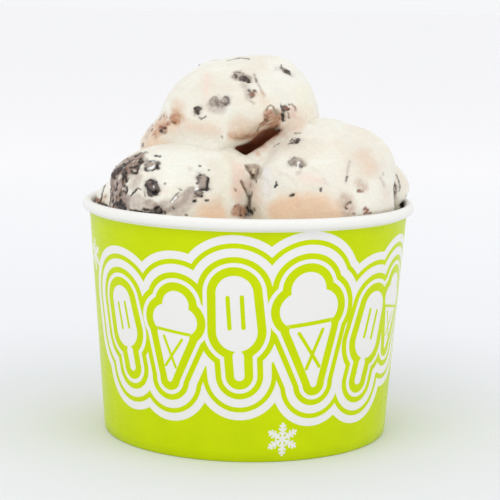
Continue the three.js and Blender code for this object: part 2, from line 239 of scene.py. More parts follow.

# Marks in the photo, in the order of painting. Each is a radius and the places that it runs
# through, across and down, all in the photo's pixels.
MARKS = {
    # Painted shade over the top scoop and over the front right scoop's right side.
    "painted_shade": [
        (8, 350, 156, 358, 172), (12, 362, 154, 372, 166), (4, 378, 184, 379, 197),
        (8, 172, 134, 195, 130, 215, 132), (6, 180, 134, 210, 133), (8, 303, 94, 306, 110),
        (8, 206, 84, 222, 88), (8, 254, 68, 262, 68),
    ],
    "milk": [
        (10, 300, 130, 326, 134), (9, 276, 156, 283, 170), (6.5, 374, 185, 377, 196, 370, 204),
        (3.5, 152, 147, 190, 146, 232, 147),
    ],
    # The two tan marks under the top scoop's lip, starting at 238, 126 and at 262, 126, are painted shade.
    "tan": [
        (1.6, 227, 158.5, 229, 159.5), (7, 364, 156, 372, 166), (1, 256, 94.3, 261, 95),
        (1, 263.5, 101, 265, 103.3), (4.5, 190, 127, 214, 130), (8, 177, 107, 175, 119),
        (9, 238, 126, 250, 130), (7, 262, 126, 273, 119), (8, 306, 112, 296, 124),
    ],
    # The peach marks starting at 238, 171 and 234, 190, on the front left scoop's right flank, are partly
    # peach in the cream and partly painted shade.
    "peach": [
        (6, 203, 214, 222, 213), (3.6, 238, 171, 237, 193), (3, 234, 190, 237, 190),
        (10, 276, 212, 300, 211, 334, 213), (7, 284, 203, 300, 200, 322, 203), (3.5, 163, 124, 169, 127),
    ],
    "pink": [
        (7, 238, 168, 238, 196), (4.5, 253, 186, 256, 200), (4, 303, 177, 320, 181),
        (3.2, 388, 196, 389, 198), (3.5, 207, 77, 206, 92),
    ],
    "yellow": [
        (4, 226, 160, 226, 200), (9, 303, 92, 308, 112),
    ],
    "white": [
        (4.5, 166, 107, 159, 114), (1.4, 270.8, 109, 271.5, 109.2),
    ],
    "lilac": [
        (5, 266, 172, 267, 192),
    ],
    # The first mark is caramel in the cream; the second, along the top scoop's lip, is painted shade.
    "toast_and_lip_shade": [
        (3.4, 175, 111, 180, 117, 176, 122), (4.5, 232, 136, 245, 137, 258, 134, 268, 129, 276, 123),
    ],
    "smear": [
        (3.8, 128, 199, 127, 205),
    ],
    "taupe_soft": [
        (4, 360, 184, 364, 187), (7.5, 346, 202, 348, 209),
    ],
    "pale": [
        (5, 137, 177, 134, 186), (8, 138, 201, 142, 204), (6.5, 163, 208, 176, 203, 188, 196),
        (5, 178, 212, 192, 200), (1.8, 200, 184.5, 202, 185.5), (1.1, 190, 168.5, 190.5, 169.5),
        (3.2, 294, 162, 302, 162), (1, 297, 173.3, 300.5, 171.5), (4.5, 236, 76, 247, 79),
        (3, 244, 85, 248, 91, 248, 96), (6.5, 212, 106, 220, 107), (3, 149, 129, 146, 136),
    ],
    "rose_soft": [
        (3.6, 292, 110, 292, 114),
    ],
    # Painted shade along the lower edge of the top scoop's lip, above the gap.
    "painted_lip_shade": [
        (2, 236, 138, 246, 137, 258, 134.5, 267, 130.5, 276, 125.5),
    ],
    "rose": [
        (6, 238, 211, 243, 212), (4.6, 264, 124, 271, 117, 280, 117), (3.4, 270, 124, 276, 123),
    ],
    "grey": [
        (3.2, 119, 163.5, 127, 159, 137, 155), (3.4, 148, 202, 154, 205), (2.8, 148, 165.5, 154, 164),
        (2.6, 165, 212, 178, 205, 186, 199), (3.4, 186, 194, 192, 189), (3.4, 202, 178, 203, 185),
        (2.6, 197, 193.5, 200, 195), (1.8, 292, 161, 296, 164.5), (1.4, 300, 159.5, 304.5, 164.5),
        (0.9, 350, 161, 348, 168, 347, 176, 346, 182), (0.9, 383.3, 173.5, 383.6, 174.5),
        (1, 381, 178.5, 383.5, 182, 384.5, 186), (1.2, 406, 196.5, 405.3, 200),
        (0.8, 234.5, 74, 237, 71.5, 241, 70.8), (0.9, 254.3, 74.5, 256, 80, 259, 86, 261, 90),
        (0.8, 250.5, 101.3, 254, 103.2), (1.8, 213.5, 99.5, 217, 103.5), (1.3, 211.5, 105.5, 213, 105),
        (0.8, 194, 111.5, 194.5, 115), (1, 151.5, 122, 152.5, 126),
    ],
    # The second taupe mark, in the hollow between the front scoops, is partly painted shade.
    "taupe": [
        (1.6, 150.5, 185.5, 153, 188), (4.2, 250, 168.5, 256, 168.5, 255, 175), (2.2, 276, 111, 279, 114),
    ],
    "chunk": [
        (3.4, 149, 184.5, 153.5, 188.5),
    ],
    "umber_soft": [
        (1.6, 358, 191, 362, 191.5), (1, 348, 203, 344.5, 207), (1, 257.5, 131, 261, 124.5, 266, 118.5),
        (0.7, 263, 125, 268, 118), (0.8, 266.5, 110, 268, 107, 270.5, 105, 272.5, 106, 274.5, 108.3),
        (0.7, 267, 116, 272, 112.3), (0.8, 288.5, 105, 292, 104.3, 295, 107, 296, 110.5),
        (0.8, 288, 112, 289, 118),
    ],
    "rust_soft": [
        (1.1, 262, 92, 264.3, 95.5), (2.4, 165, 125, 172, 121, 176.5, 115), (2, 161, 126, 164, 130),
        (3, 173, 117, 175, 121),
    ],
    # Relief folds on the front right scoop, each with painted shade along it.
    "crease": [
        (1.3, 258, 176, 266, 180, 270, 188, 268, 196), (1.2, 280, 174, 290, 178, 296, 185),
        (1.2, 312, 168, 322, 174, 326, 184), (1.6, 350, 161, 348, 168, 347, 176, 346, 183),
        (1.4, 381, 177, 384, 184, 387, 192),
    ],
    # Grooves in the fold between the front scoops: partly their own brown, partly painted shade.
    "groove": [
        (1.5, 241.5, 181.5, 244, 186, 247, 191, 249.3, 196, 249.3, 202, 248.3, 207),
        (0.7, 249.5, 195.5, 251, 193), (1.2, 245.5, 165.5, 249.5, 171, 253, 177, 255, 180),
    ],
    "ash": [
        (0.6, 144, 191, 145, 196), (0.7, 145, 165, 149, 161.5, 153, 160.5, 158, 162),
        (1, 158, 161.5, 159.5, 163), (0.8, 146, 167, 146.5, 169), (1.1, 165, 183.5, 165, 184.5),
        (0.7, 170.5, 201.5, 175, 196, 178.5, 192.5), (0.8, 178, 188.5, 181.5, 190),
        (0.7, 177, 196, 179, 197.5), (0.9, 199, 177, 200.5, 178.5), (1, 221.7, 136.6, 222.3, 137.4),
        (0.9, 258.5, 168.5, 257.5, 174), (0.9, 279.5, 131.5, 277, 134.8), (0.7, 274, 146.8, 279, 143.2),
        (1, 294.5, 133.2, 300, 133), (0.8, 290, 141, 292, 139.3, 295, 138.2, 299, 138.4),
        (0.9, 291, 159, 294.5, 157.2), (0.6, 292.5, 160, 293.5, 163.5, 296.5, 162),
        (0.6, 300.5, 160, 302.5, 162.3), (0.8, 347.3, 177, 346, 181),
        (1, 396.5, 175, 398.5, 181, 400, 186, 399.3, 191), (1.2, 228, 60.5, 234, 59, 241, 58, 249, 58.7),
        (0.8, 237, 72.5, 240, 74.5), (1.3, 248.5, 90, 250, 91), (1, 255.6, 78.5, 256.6, 81),
        (1.2, 281.5, 66.8, 285.5, 69.8, 290, 72.5),
        (0.9, 223, 99, 226, 97.8, 228.7, 100, 228, 103, 225, 104.5, 222.3, 103),
        (1, 215.5, 100.5, 217.8, 105), (0.8, 198.5, 117.3, 201, 118.7, 204, 118, 206, 116.3),
        (1, 153.8, 120.5, 155.5, 117), (0.9, 160.3, 118, 161, 115.5), (1.5, 142.8, 144.5, 142.5, 146),
    ],
    "olive": [
        (2, 252, 213.5, 254, 209.5), (1.2, 276, 112, 278, 115.5),
    ],
    "rust": [
        (2.6, 96, 199, 98, 201), (1.1, 234.8, 189, 236, 191), (0.9, 235, 206.5, 239, 204.5),
        (0.7, 240, 207.5, 241, 211, 240, 214), (0.9, 353.5, 213.6, 354.5, 214),
        (1, 364, 213.6, 371, 212.7), (1.3, 363.5, 209.5, 365.5, 208.3, 367.8, 210, 366.8, 212.5),
        (2.1, 251.5, 93.5, 253, 94), (1.3, 172.5, 121.5, 174.5, 122.8), (0.8, 169.8, 118.3, 172, 117),
        (0.9, 167.5, 124, 168.5, 124.5), (2, 161, 127.5, 164.5, 128), (2.2, 284.5, 107.8, 287, 108),
    ],
    # The first umber mark, in the hollow between the front scoops, is partly painted shade.
    "umber": [
        (1.5, 253.5, 176, 254.5, 179), (1, 272, 130, 277, 126), (0.8, 265.5, 119.5, 267.5, 122.5),
    ],
    "dark": [
        (1, 141, 162, 137.5, 169, 137, 172), (0.7, 136, 189.5, 138.5, 188, 140.5, 189.5),
        (1.5, 143, 209.5, 156, 210.5), (0.9, 144.5, 167, 145, 170, 148, 171, 152, 170, 156, 167.5),
        (1, 155, 155.8, 160, 156.2), (0.9, 173, 207.5, 173.5, 208.5), (1.2, 196.8, 183, 198.5, 181.5),
        (1, 195, 193, 198, 195.3, 200, 195.8), (0.9, 208.6, 169.6, 209.4, 170),
        (0.9, 246, 214, 247, 214.5), (1, 291.7, 142, 292.5, 142.5), (0.8, 295, 142.3, 297.3, 142.2),
        (1.4, 234.5, 76, 236.5, 77.2), (1.5, 240.5, 79, 246, 79.2), (1.3, 247.8, 81, 249.5, 81.3),
        (1.4, 196.8, 109.5, 197.8, 113.5), (1, 284, 107, 287.5, 106.3),
    ],
    # The first cream mark, in the hollow between the front scoops, is a painted highlight; the second is a
    # light stripe on the top scoop's lip.
    "cream": [
        (1, 254.2, 169.5, 254.4, 172.5), (0.8, 261, 129, 267, 123.5, 272, 121),
    ],
    "pit": [
        (1.2, 105, 185, 103, 190, 101.5, 196, 100, 201), (1.3, 98, 202.5, 103, 204, 107, 206),
        (1.1, 135, 156, 138, 155, 141, 152.5), (1.6, 139, 162, 142, 160), (2.4, 112, 172, 112.8, 175.5),
        (1.2, 120.5, 168, 124, 163.5), (1, 124.5, 166, 129, 162), (1.3, 131.5, 171, 132, 173, 136, 173),
        (1.6, 126, 173, 125, 177, 126.3, 181), (1.2, 126.8, 187, 126.3, 192),
        (2.3, 116.5, 204.5, 119, 206.5, 124, 208.5), (1.8, 120.5, 201, 121.5, 205),
        (1.1, 130.5, 196, 133.5, 192.5, 136, 189.5), (1.3, 130, 210.5, 140, 212, 149, 213),
        (1.5, 155.5, 208.5, 158.5, 207.5), (1.6, 160.5, 209, 161, 212.5), (1.1, 151, 212.8, 160, 213.5),
        (0.9, 164.5, 212, 165, 212.5), (1.2, 157.5, 166.5, 158.5, 167),
        (1.4, 145.2, 184, 147.5, 188, 151, 191.5, 155.5, 194, 157, 191.5),
        (1.2, 146, 183, 149, 181, 153, 180.5, 156, 182), (1.1, 153, 183.5, 154, 184.5),
        (1, 185.5, 215, 187, 215.5), (1.1, 198.5, 175.3, 201, 173.7, 204, 174.2, 206, 178, 207, 183),
        (1.6, 207.5, 184.5, 207.5, 189), (1.1, 200.5, 188.2, 206, 189.3), (1, 201.3, 196.2, 202, 195.7),
        (1.2, 193.5, 201.5, 195.5, 200.8), (1, 206, 200.3, 208, 200.3), (0.8, 199.6, 165.3, 200.4, 165.6),
        (1, 240.8, 215, 241.5, 215.3), (1.5, 248, 208.5, 250.5, 212),
        (0.9, 276.3, 182, 276, 184.5, 274.5, 187), (0.7, 276, 184.5, 277.3, 185),
        (1.3, 290.5, 195.7, 293, 194.8), (1.1, 320.8, 188.8, 321, 191.2), (1.1, 346, 207.8, 346.5, 208.5),
        (1, 350.3, 201.8, 350.8, 202.5), (1.9, 401, 205, 403.5, 202.5, 405.5, 204.5),
        (2, 160.5, 130.3, 162, 129.8), (1, 163, 128.5, 165.5, 128), (1.8, 283.5, 116, 284, 120.5),
    ],
    # Painted highlights on the biscuit pieces and smears.
    "painted_highlight": [
        (0.6, 148, 169, 152, 167.5, 155, 166.3), (0.7, 154.5, 187.5, 154.8, 189),
        (0.6, 172, 202, 176.5, 197), (0.9, 195.5, 189.5, 198, 188.3), (1, 294.3, 140.3, 296, 140.2),
        (0.9, 299, 163.5, 297.3, 168),
    ],
}
PIXELS_PER_MM = 3.1
MARK_DECIMALS = 1
MARK_DEPTH = 1.2
MARK_ROOM = 8.0
MARK_STEPS = 90
MARK_SLANT = 0.45
MARK_SPREAD = 1.6
MARK_MARGIN = 1
SLOPE_STEP = 0.3
SHARP_MARK = 1.5
SHARP_MOTTLE = 0.45
SOFT_MOTTLE = 0.1

# Loose crumbs on each scoop, nearly all of them in its smears
CRUMB_COUNT = 26
CRUMB_SMALLEST = 0.35
CRUMB_LARGEST = 0.8
CRUMB_WEIGHTS = {"grey": 1.0, "caramel": 0.5, "crumb": 1.3}
CRUMB_LEAST_WEIGHT = 1e-4
CRUMB_UNEVEN = (0.7, 1.25)
CRUMB_STRETCH = (0.65, 1.35)
CRUMB_SUNK = 0.12
CRUMB_CLEAR = 0.4

# Biscuit pieces that show from the front: azimuth and height angle from the scoop's heart, length, width,
# turn and how much cream covers them.
CHUNKS = {
    "scoop_front_left": [
        (-114.3, 19.2, 5.0, 4.2, -40, 0.35),
        (-71.1, 25.8, 5.4, 3.0, -72, 0.45),
        (-77.1, 15.5, 2.8, 2.0, 0, 0.3),
        (-121.8, 36.8, 4.8, 2.8, 20, 0.75),
        (-156, 26, 4.2, 2.8, 60, 0.3),
        (-105.8, 3.8, 2.6, 2.4, 0, 0.15),
    ],
    "scoop_front_right": [
        (-131.3, 52.8, 2.2, 1.3, 15, 0.95),
        (-114.8, 30.3, 3.8, 2.2, -20, 1.0),
    ],
    "scoop_rear_right": [
        (-32.9, 3.1, 3.2, 2.4, 20, 0.1),
    ],
    "scoop_top": [
        (-93.1, 38, 5.6, 3.0, -20, 0.5),
        (-84.7, 19.9, 2.2, 2.0, 30, 0.2),
        (-34.9, 46.4, 4.0, 1.6, -45, 0.75),
        (-102.9, 16.1, 2.8, 2.6, 10, 0.75),
        (-110.3, 15.4, 3.2, 2.6, 60, 0.7),
        (-122, 8.6, 2.0, 2.2, 0, 0.3),
        (-149.1, -4.9, 2.4, 2.0, 20, 0.15),
        (-139.1, 3, 3.4, 2.8, 10, 0.8),
        (-62.4, 11.5, 2.6, 2.0, 15, 0.3),
        (-63.7, 5.2, 1.8, 2.4, 0, 0.2),
    ],
}
BACK_CHUNKS = 3
CHUNK_RISE = 0.32
CHUNK_THICKNESS = 0.8
CHUNK_LEAN = 0.25
CHUNK_POWER = 3.5
CHUNK_REACH = 2.0
CHUNK_BLEND = 0.3
CHUNK_ROUGH = 0.7
CHUNK_ROUGH_SIZE = 2.1
CHUNK_FINE = 0.3
CHUNK_FINE_SIZE = 1.0

# The groove round each biscuit piece: its depth, its distance from the piece and its width
MOAT = (0.3, 0.25, 0.4)

# What each scoop gets at the back: the kind of patch, how many, and the smallest and largest reach
BACK_PATCHES = [
    ("grey", 3, 3.5, 7),
    ("caramel", 2, 3, 5.5),
    ("peach", 2, 7, 13),
    ("crumb", 1, 4, 7),
    ("white", 2, 7, 12),
]

# Colours of 0 to 255
COLOURS = {
    "cream": (235, 231, 217),
    "white": (240, 239, 229),
    "warm": (232, 223, 207),
    "peach": (229, 198, 168),
    "grey": (190, 176, 167),
    "smear": (140, 124, 116),
    "caramel": (205, 162, 132),
    "stain": (104, 56, 36),
    "crumb": (145, 120, 105),
    "pit": (34, 20, 15),
    "biscuit": (50, 33, 28),
    "film": (160, 144, 133),
    # Gap: the brown of the hollow under the top scoop's lip, partly painted shade.
    "gap": (205, 134, 96),
    "green": (196, 216, 2),
    "light_green": (202, 221, 3),
    "print": (236, 234, 232),
    "paper": (242, 241, 237),
    "paper_fibre": (235, 233, 228),
}

# Motifs of the print, in millimetres across and along each: strokes from one place to another with a radius
# at each end, then the lines left green on them
LOLLY = (
    ((0, -1, 0, 9.5, 5.6, 5.0), (0, -8, 0, -13.5, 1.5, 1.4)),
    ((-1.9, 0, -1.9, 8.5, 0.6, 0.6), (1.9, 0, 1.9, 8.5, 0.6, 0.6)),
)
CONE = (
    (
        (0, 1, 0, -14, 6.0, 0.9),
        (-3.6, 6.5, -3.4, 6.7, 4.6, 4.6),
        (3.6, 6.5, 3.4, 6.7, 4.6, 4.6),
        (0, 11.5, 0, 11.7, 4.8, 4.8),
    ),
    ((-7.5, 2.6, 7.5, 2.6, 0.55, 0.55), (-3.4, 0.4, 1.9, -9.5, 0.5, 0.5), (3.4, 0.4, -1.9, -9.5, 0.5, 0.5)),
)

# What is drawn in each repeat: the motif, its place along and up the wall, its lean and its size
MOTIFS = (
    (LOLLY, -44, 40, -12, 0.95),
    (CONE, -24, 39, 6, 0.95),
    (LOLLY, -3, 44, -4, 1.15),
    (CONE, 21, 42, -6, 1.2),
    (LOLLY, 45, 38, 14, 1.05),
    (CONE, 60, 44, 10, 0.8),
)

# How streaks in the cream and in the smears are drawn out along each axis
CREAM_SQUEEZE = (0.5, 1.0, 1.3)
SMEAR_SQUEEZE = (0.6, 1.0, 1.5)

# Paint of the biscuit pieces: the grey stain round each, its dark body and the film of cream on it. An edge
# is where the paint starts to fade and where it ends.
STAIN_STRENGTH = 0.35
STAIN_EDGE = (0.1, 1.0)
BISCUIT_STRENGTH = 0.92
BISCUIT_EDGE = (-0.05, 0.35)
FILM_STRENGTH = 0.85
FILM_UNEVEN = 0.4
FILM_EDGE = 0.4

# Snow crystals, one below the motifs and one above them: along and up. Each arm's branches are where they
# start and how long they are, as shares of the arm.
FLAKES = ((12.8, 7.5), (-65.6, 61))
FLAKE_RADIUS = 5.2
FLAKE_BRANCHES = ((0.30, 0.20), (0.52, 0.26), (0.76, 0.20))
PRINT_RADIUS = 51.0
PRINT_REPEAT = 2 * math.pi * PRINT_RADIUS / 2

# Bands round the motifs, starting with a green gap: widths from the motifs outward
BANDS = (2.8, 1.3, 1.9, 2.7, 1.6, 2.6)

# Camera
CAMERA_BACK = 546.35
CAMERA_HEIGHT = 143.81
EYE = np.array((0, -CAMERA_BACK, CAMERA_HEIGHT))
AIM = (0.825, 0, 60.94)
ROLL = 0.018
PHOTO_SIDE = 500
FOCAL_PIXELS = 1619
SENSOR = 36

# Floor and light: tones at distances from the tub's axis in metres, which paint shade on the floor close to
# the tub, and each light's place, size and energy
FLOOR_SIDE = 80.0
FLOOR_REACH = 0.9
FLOOR_SHADE_TONES = (
    (0.0, (222, 223, 224)),
    (0.07, (229, 230, 233)),
    (0.19, (238, 239, 242)),
    (0.45, (245, 246, 248)),
    (0.9, (254, 253, 254)),
)
WORLD_TONE = (246, 247, 248)
WORLD_STRENGTH = 1.0
LIGHT_AIM = (0, 0, 0.08)
LIGHTS = {
    "key": ((-0.55, -0.9, 1.1), 1.0, 3.6),
    "fill": ((0.9, -0.5, 0.7), 0.9, 1.4),
}


def linear(red, green, blue):
    """A colour of 0 to 255, as a screen shows it, in linear light."""
    parts = np.array([red, green, blue]) / 255
    return np.where(parts <= 0.04045, parts / 12.92, ((parts + 0.055) / 1.055) ** 2.4)


def shade(name):
    """A named colour for a shader's socket."""
    return (*linear(*COLOURS[name]), 1)


# Noise

RANDOM = np.random.default_rng(SEED)
DIRECTIONS = RANDOM.normal(size=(3, 4096)).astype(np.float32)
DIRECTIONS /= np.linalg.norm(DIRECTIONS, axis=0)
HASH_PRIMES = np.array([7385609, 1934963, 8349279], np.int32)
LAYER_SHIFT = 17.3
NOISE_SCALE = 1.6


def noise(points, size, layer=0):
    """Smooth values of about -1 to 1 that change over about size millimetres, different in each layer."""
    spots = (points / size + LAYER_SHIFT * layer).astype(np.float32).T
    cell = np.floor(spots)
    inside = spots - cell
    eased = inside * inside * inside * (inside * (inside * 6 - 15) + 10)
    eases = (1 - eased, eased)
    cell = cell.astype(np.int32)
    hashes = [[(cell[axis] + side) * prime for side in (0, 1)] for axis, prime in enumerate(HASH_PRIMES)]
    total = np.zeros(spots.shape[1], np.float32)
    for i, j, k in itertools.product((0, 1), repeat=3):
        pick = (hashes[0][i] ^ hashes[1][j] ^ hashes[2][k]) & 4095
        slope = DIRECTIONS[0][pick] * (inside[0] - i)
        slope += DIRECTIONS[1][pick] * (inside[1] - j)
        slope += DIRECTIONS[2][pick] * (inside[2] - k)
        total += eases[i][0] * eases[j][1] * eases[k][2] * slope
    return total * NOISE_SCALE


def noise_where(points, chosen, size, layer):
    """Noise at the chosen points and nought at the others."""
    values = np.zeros(len(points), np.float32)
    values[chosen] = noise(points[chosen], size, layer)
    return values


def smooth_step(low, high, value):
    t = np.clip((value - low) / (high - low), 0, 1)
    return t * t * (3 - 2 * t)


# Distances to the ice cream's surface


def ball_distance(p, ball):
    centre, radii = np.array(ball[:3], np.float32), np.array(ball[3:], np.float32)
    units = np.linalg.norm((p - centre) / radii, axis=-1)
    slope = np.linalg.norm((p - centre) / radii**2, axis=-1)
    return units * (units - 1) / np.maximum(slope, 1e-6)


def rod_distance(p, rod):
    start, end = np.array(rod[:3], np.float32), np.array(rod[3:6], np.float32)
    along = end - start
    share = np.clip((p - start) @ along / (along @ along), 0, 1)
    return np.linalg.norm(p - start - share[..., None] * along, axis=-1) - rod[6]


def least(a, b, width):
    near = np.maximum(width - np.abs(a - b), 0) / width
    return np.minimum(a, b) - near * near * width / 4


def most(a, b, width):
    return -least(-a, -b, width)


def outside_tub(p):
    radius = np.hypot(p[..., 0], p[..., 1])
    height = p[..., 2]
    below = FILL_RADIUS_FOOT + (FILL_RADIUS_RIM - FILL_RADIUS_FOOT) * height / FILL_LEVEL
    above = FILL_RADIUS_RIM + (height - FILL_LEVEL) * OVERHANG_SLOPE
    return (radius - np.where(height < FILL_LEVEL, below, above)) / math.hypot(1, OVERHANG_SLOPE)


def scoop_distance(p, scoop):
    """Distance to a scoop without its fine relief."""
    distance = np.full(p.shape[:-1], FAR, np.float32)
    for ball in scoop["balls"]:
        distance = least(distance, ball_distance(p, ball), BLEND)
    for rod in scoop.get("rods", []):
        distance = least(distance, rod_distance(p, rod), BLEND)
    for ball in scoop.get("hollow_balls", []):
        distance = most(distance, -ball_distance(p, ball), BLEND)
    for rod in scoop.get("hollow_rods", []):
        distance = most(distance, -rod_distance(p, rod), BLEND)
    return distance


def seated_distance(p, scoop):
    """Distance to a scoop that ends at its seat, if it has one."""
    distance = scoop_distance(p, scoop)
    if "seat" in scoop:
        distance = most(distance, scoop["seat"] - p[..., 2], EDGE_BLEND)
    return distance


def bed_distance(p):
    wave = np.sin(p[..., 0] / 5.3 + 1) + np.sin(p[..., 1] / 4.7 - p[..., 0] / 9)
    return p[..., 2] - BED_LEVEL - BED_WAVE * wave


# Biscuit pieces


def outward(azimuth, height):
    """The direction with this azimuth and height angle, in degrees."""
    turn, rise = math.radians(azimuth), math.radians(height)
    return np.array([math.cos(rise) * math.cos(turn), math.cos(rise) * math.sin(turn), math.sin(rise)])


def surface_point(scoop, direction):
    """The outermost point of a scoop in a direction from its heart."""
    reach = SEARCH_FROM
    while reach > 0:
        p = np.array(scoop["heart"]) + reach * direction
        distance = float(scoop_distance(p[None], scoop)[0])
        if distance < SEARCH_CLOSE:
            break
        reach -= max(distance * SEARCH_SHARE, SEARCH_CLOSE)
    return p


def lump(scoop, azimuth, height, length, width, turn, film):
    """Where a biscuit piece lies: its middle, its axes, its radii and how much cream covers it."""
    out = outward(azimuth, height)
    across = np.cross((0, 0, 1), out)
    across /= np.linalg.norm(across)
    upward = np.cross(out, across)
    cosine, sine = math.cos(math.radians(turn)), math.sin(math.radians(turn))
    axes = np.array([cosine * across + sine * upward, cosine * upward - sine * across, out])
    thickness = min(length, width) * CHUNK_THICKNESS
    middle = surface_point(scoop, out) + out * thickness * (CHUNK_RISE - 0.5)
    return {
        "middle": middle,
        "axes": axes.astype(np.float32),
        "radii": np.array([length, width, thickness], np.float32) / 2,
        "lean": np.array([sine - cosine, sine + cosine]) * CHUNK_LEAN,
        "film": film,
    }


def back_chunks():
    """Pieces on the side that the photo doesn't show."""
    return [
        (
            RANDOM.uniform(20, 160) if i else RANDOM.uniform(60, 120),
            RANDOM.uniform(8, 42),
            RANDOM.uniform(3, 5),
            RANDOM.uniform(2.4, 3.6),
            RANDOM.uniform(0, 90),
            RANDOM.uniform(0.1, 0.6),
        )
        for i in range(BACK_CHUNKS)
    ]


def all_lumps():
    lumps = []
    for name, scoop in SCOOPS.items():
        lumps += [lump(scoop, *place) for place in CHUNKS.get(name, []) + back_chunks()]
    return lumps


def lump_distance(p, piece):
    spots = (p - piece["middle"].astype(np.float32)) @ piece["axes"].T
    units = (np.abs(spots / piece["radii"]) ** CHUNK_POWER).sum(axis=-1) ** (1 / CHUNK_POWER)
    return (units - 1) * piece["radii"].min()


def near_lump(p, piece):
    away = np.abs(p - piece["middle"].astype(np.float32)).max(axis=-1)
    return away < piece["radii"].max() + CHUNK_REACH


def chunk_gap(p, piece):
    """Distance to a piece with its broken edges."""
    broken = CHUNK_ROUGH * noise(p, CHUNK_ROUGH_SIZE, 12) + CHUNK_FINE * noise(p, CHUNK_FINE_SIZE, 13)
    return lump_distance(p, piece) + broken


# Patches of colour


def back_patches():
    """Patches like the shown ones for the sides that the photo doesn't show."""
    added = {kind: [] for kind in PATCHES}
    for scoop in SCOOPS.values():
        for kind, count, smallest, largest in BACK_PATCHES:
            for _ in range(count):
                out = outward(RANDOM.uniform(15, 165), RANDOM.uniform(0, 60))
                place = surface_point(scoop, out)
                added[kind].append((*place, RANDOM.uniform(smallest, largest)))
    return added


def patch_amount(p, kind, edge=None):
    """How strongly a kind of patch colours each point: 1 inside such patches and 0 outside."""
    edge = edge or PATCH_EDGES[kind]
    share = np.full(len(p), FAR, np.float32)
    for x, y, z, reach in PATCHES[kind]:
        share = np.minimum(share, np.linalg.norm(p - np.array([x, y, z], np.float32), axis=-1) / reach)
    close = share < 1 + edge + 0.6
    layer = PATCH_LAYERS[kind]
    share += 0.30 * noise_where(p, close, 3.6, layer) + 0.18 * noise_where(p, close, 1.4, layer + 1)
    return 1 - smooth_step(1 - edge, 1 + edge, share)


# Marks that the camera sees


def camera_axes():
    """The camera's right, its up and the way behind it, one a row."""
    back = EYE - AIM
    back /= np.linalg.norm(back)
    right = np.cross((0, 0, 1), back)
    right /= np.linalg.norm(right)
    up = np.cross(back, right)
    cosine, sine = math.cos(ROLL), math.sin(ROLL)
    return np.array([cosine * right + sine * up, cosine * up - sine * right, back])


def plain_distance(p):
    """Distance to the ice cream as a whole, without its fine relief."""
    whole = bed_distance(p)
    for scoop in SCOOPS.values():
        whole = least(whole, seated_distance(p, scoop), WELD)
    return most(whole + swells(p), outside_tub(p), EDGE_BLEND)


def upright_places(pixels):
    """Where the camera sees places of the photo on the upright plane through the tub's axis."""
    middle = PHOTO_SIDE / 2
    behind = np.full(len(pixels), -FOCAL_PIXELS)
    rays = np.stack([pixels[:, 0] - middle, middle - pixels[:, 1], behind], axis=-1) @ camera_axes()
    places = EYE + rays * (CAMERA_BACK / rays[:, 1:2])
    return np.round(places, MARK_DECIMALS) * (1, 0, 1)


def seen_places(pixels):
    """Where the camera sees places of the photo on the ice cream."""
    rays = upright_places(pixels) - EYE
    rays /= np.linalg.norm(rays, axis=-1, keepdims=True)
    reach = np.full((len(pixels), 1), CAMERA_BACK - RIM_RADIUS - MARK_ROOM)
    for _ in range(MARK_STEPS):
        reach += SEARCH_SHARE * np.clip(plain_distance(EYE + reach * rays), -2, 2)[:, None]
    return EYE + np.minimum(reach, CAMERA_BACK + RIM_RADIUS) * rays


def ways_out(places):
    """The direction straight out of the surface at each place."""
    steps = SLOPE_STEP * np.eye(3)
    rise = [plain_distance(places + step) - plain_distance(places - step) for step in steps]
    slopes = np.stack(rise, axis=-1)
    return slopes / np.linalg.norm(slopes, axis=-1, keepdims=True)


def two_digits(value):
    """A value rounded to two digits."""
    return float(f"{value:.2g}")


def seen_marks():
    """Every mark in the order of painting, with its places on the ice cream and the ways out of it."""
    marks = [(kind, mark[0], mark[1:]) for kind in STYLES for mark in MARKS[kind]]
    places = seen_places(np.concatenate([np.reshape(run, (-1, 2)) for _, _, run in marks]))
    ends = np.cumsum([len(run) // 2 for _, _, run in marks])[:-1]
    laid = []
    for (kind, pixels, _), run, out in zip(marks, np.split(places, ends), np.split(ways_out(places), ends)):
        radius = two_digits(pixels / PIXELS_PER_MM)
        reach = (radius + STYLES[kind][1]) * MARK_SPREAD + MARK_MARGIN
        box = {"low": run.min(axis=0) - reach, "high": run.max(axis=0) + reach}
        sight = run - EYE
        sight /= np.linalg.norm(sight, axis=1, keepdims=True)
        facing = (sight * out).sum(axis=1, keepdims=True)
        slant = sight - facing * out
        shorter = np.sqrt(1 - np.maximum(-facing, MARK_SLANT) ** 2)
        slant *= shorter / np.maximum(np.linalg.norm(slant, axis=1, keepdims=True), 1e-6)
        laid.append({"kind": kind, "radius": radius, "places": run, "out": out, "slant": slant, **box})
    return laid


def mark_distance(p, mark):
    """Distance to a mark along the surface, foreshortened as the camera sees it."""
    nearest = np.full(len(p), FAR)
    deepest = MARK_DEPTH + mark["radius"] / 4
    for start, end, out, slant in zip(mark["places"], mark["places"][1:], mark["out"], mark["slant"]):
        along = end - start
        share = np.clip((p - start) @ along / (along @ along), 0, 1)
        apart = p - start - share[:, None] * along
        rise = apart @ out
        squares = (apart * apart).sum(axis=1) - rise * rise - (apart @ slant) ** 2
        flat = np.sqrt(np.maximum(squares, 0))
        nearest = np.minimum(nearest, flat + np.maximum(np.abs(rise) - deepest, 0))
    return nearest


def mark_share(p, mark):
    """Which points a mark reaches and how strongly it shows there."""
    _, soft, strength, _ = STYLES[mark["kind"]]
    close = np.flatnonzero(((p > mark["low"]) & (p < mark["high"])).all(axis=1))
    spots, radius = p[close], mark["radius"]
    uneven = (0.1 + 0.25 * radius) * noise(spots, 0.9 + radius, 40) + 0.12 * noise(spots, 0.8, 41)
    inside = 1 - smooth_step(-soft, soft, mark_distance(spots, mark) + uneven - radius)
    mottle = SHARP_MOTTLE if soft < SHARP_MARK else SOFT_MOTTLE
    return close, np.clip(strength * inside * (1 + mottle * noise(spots, 1.0, 43)), 0, 1)


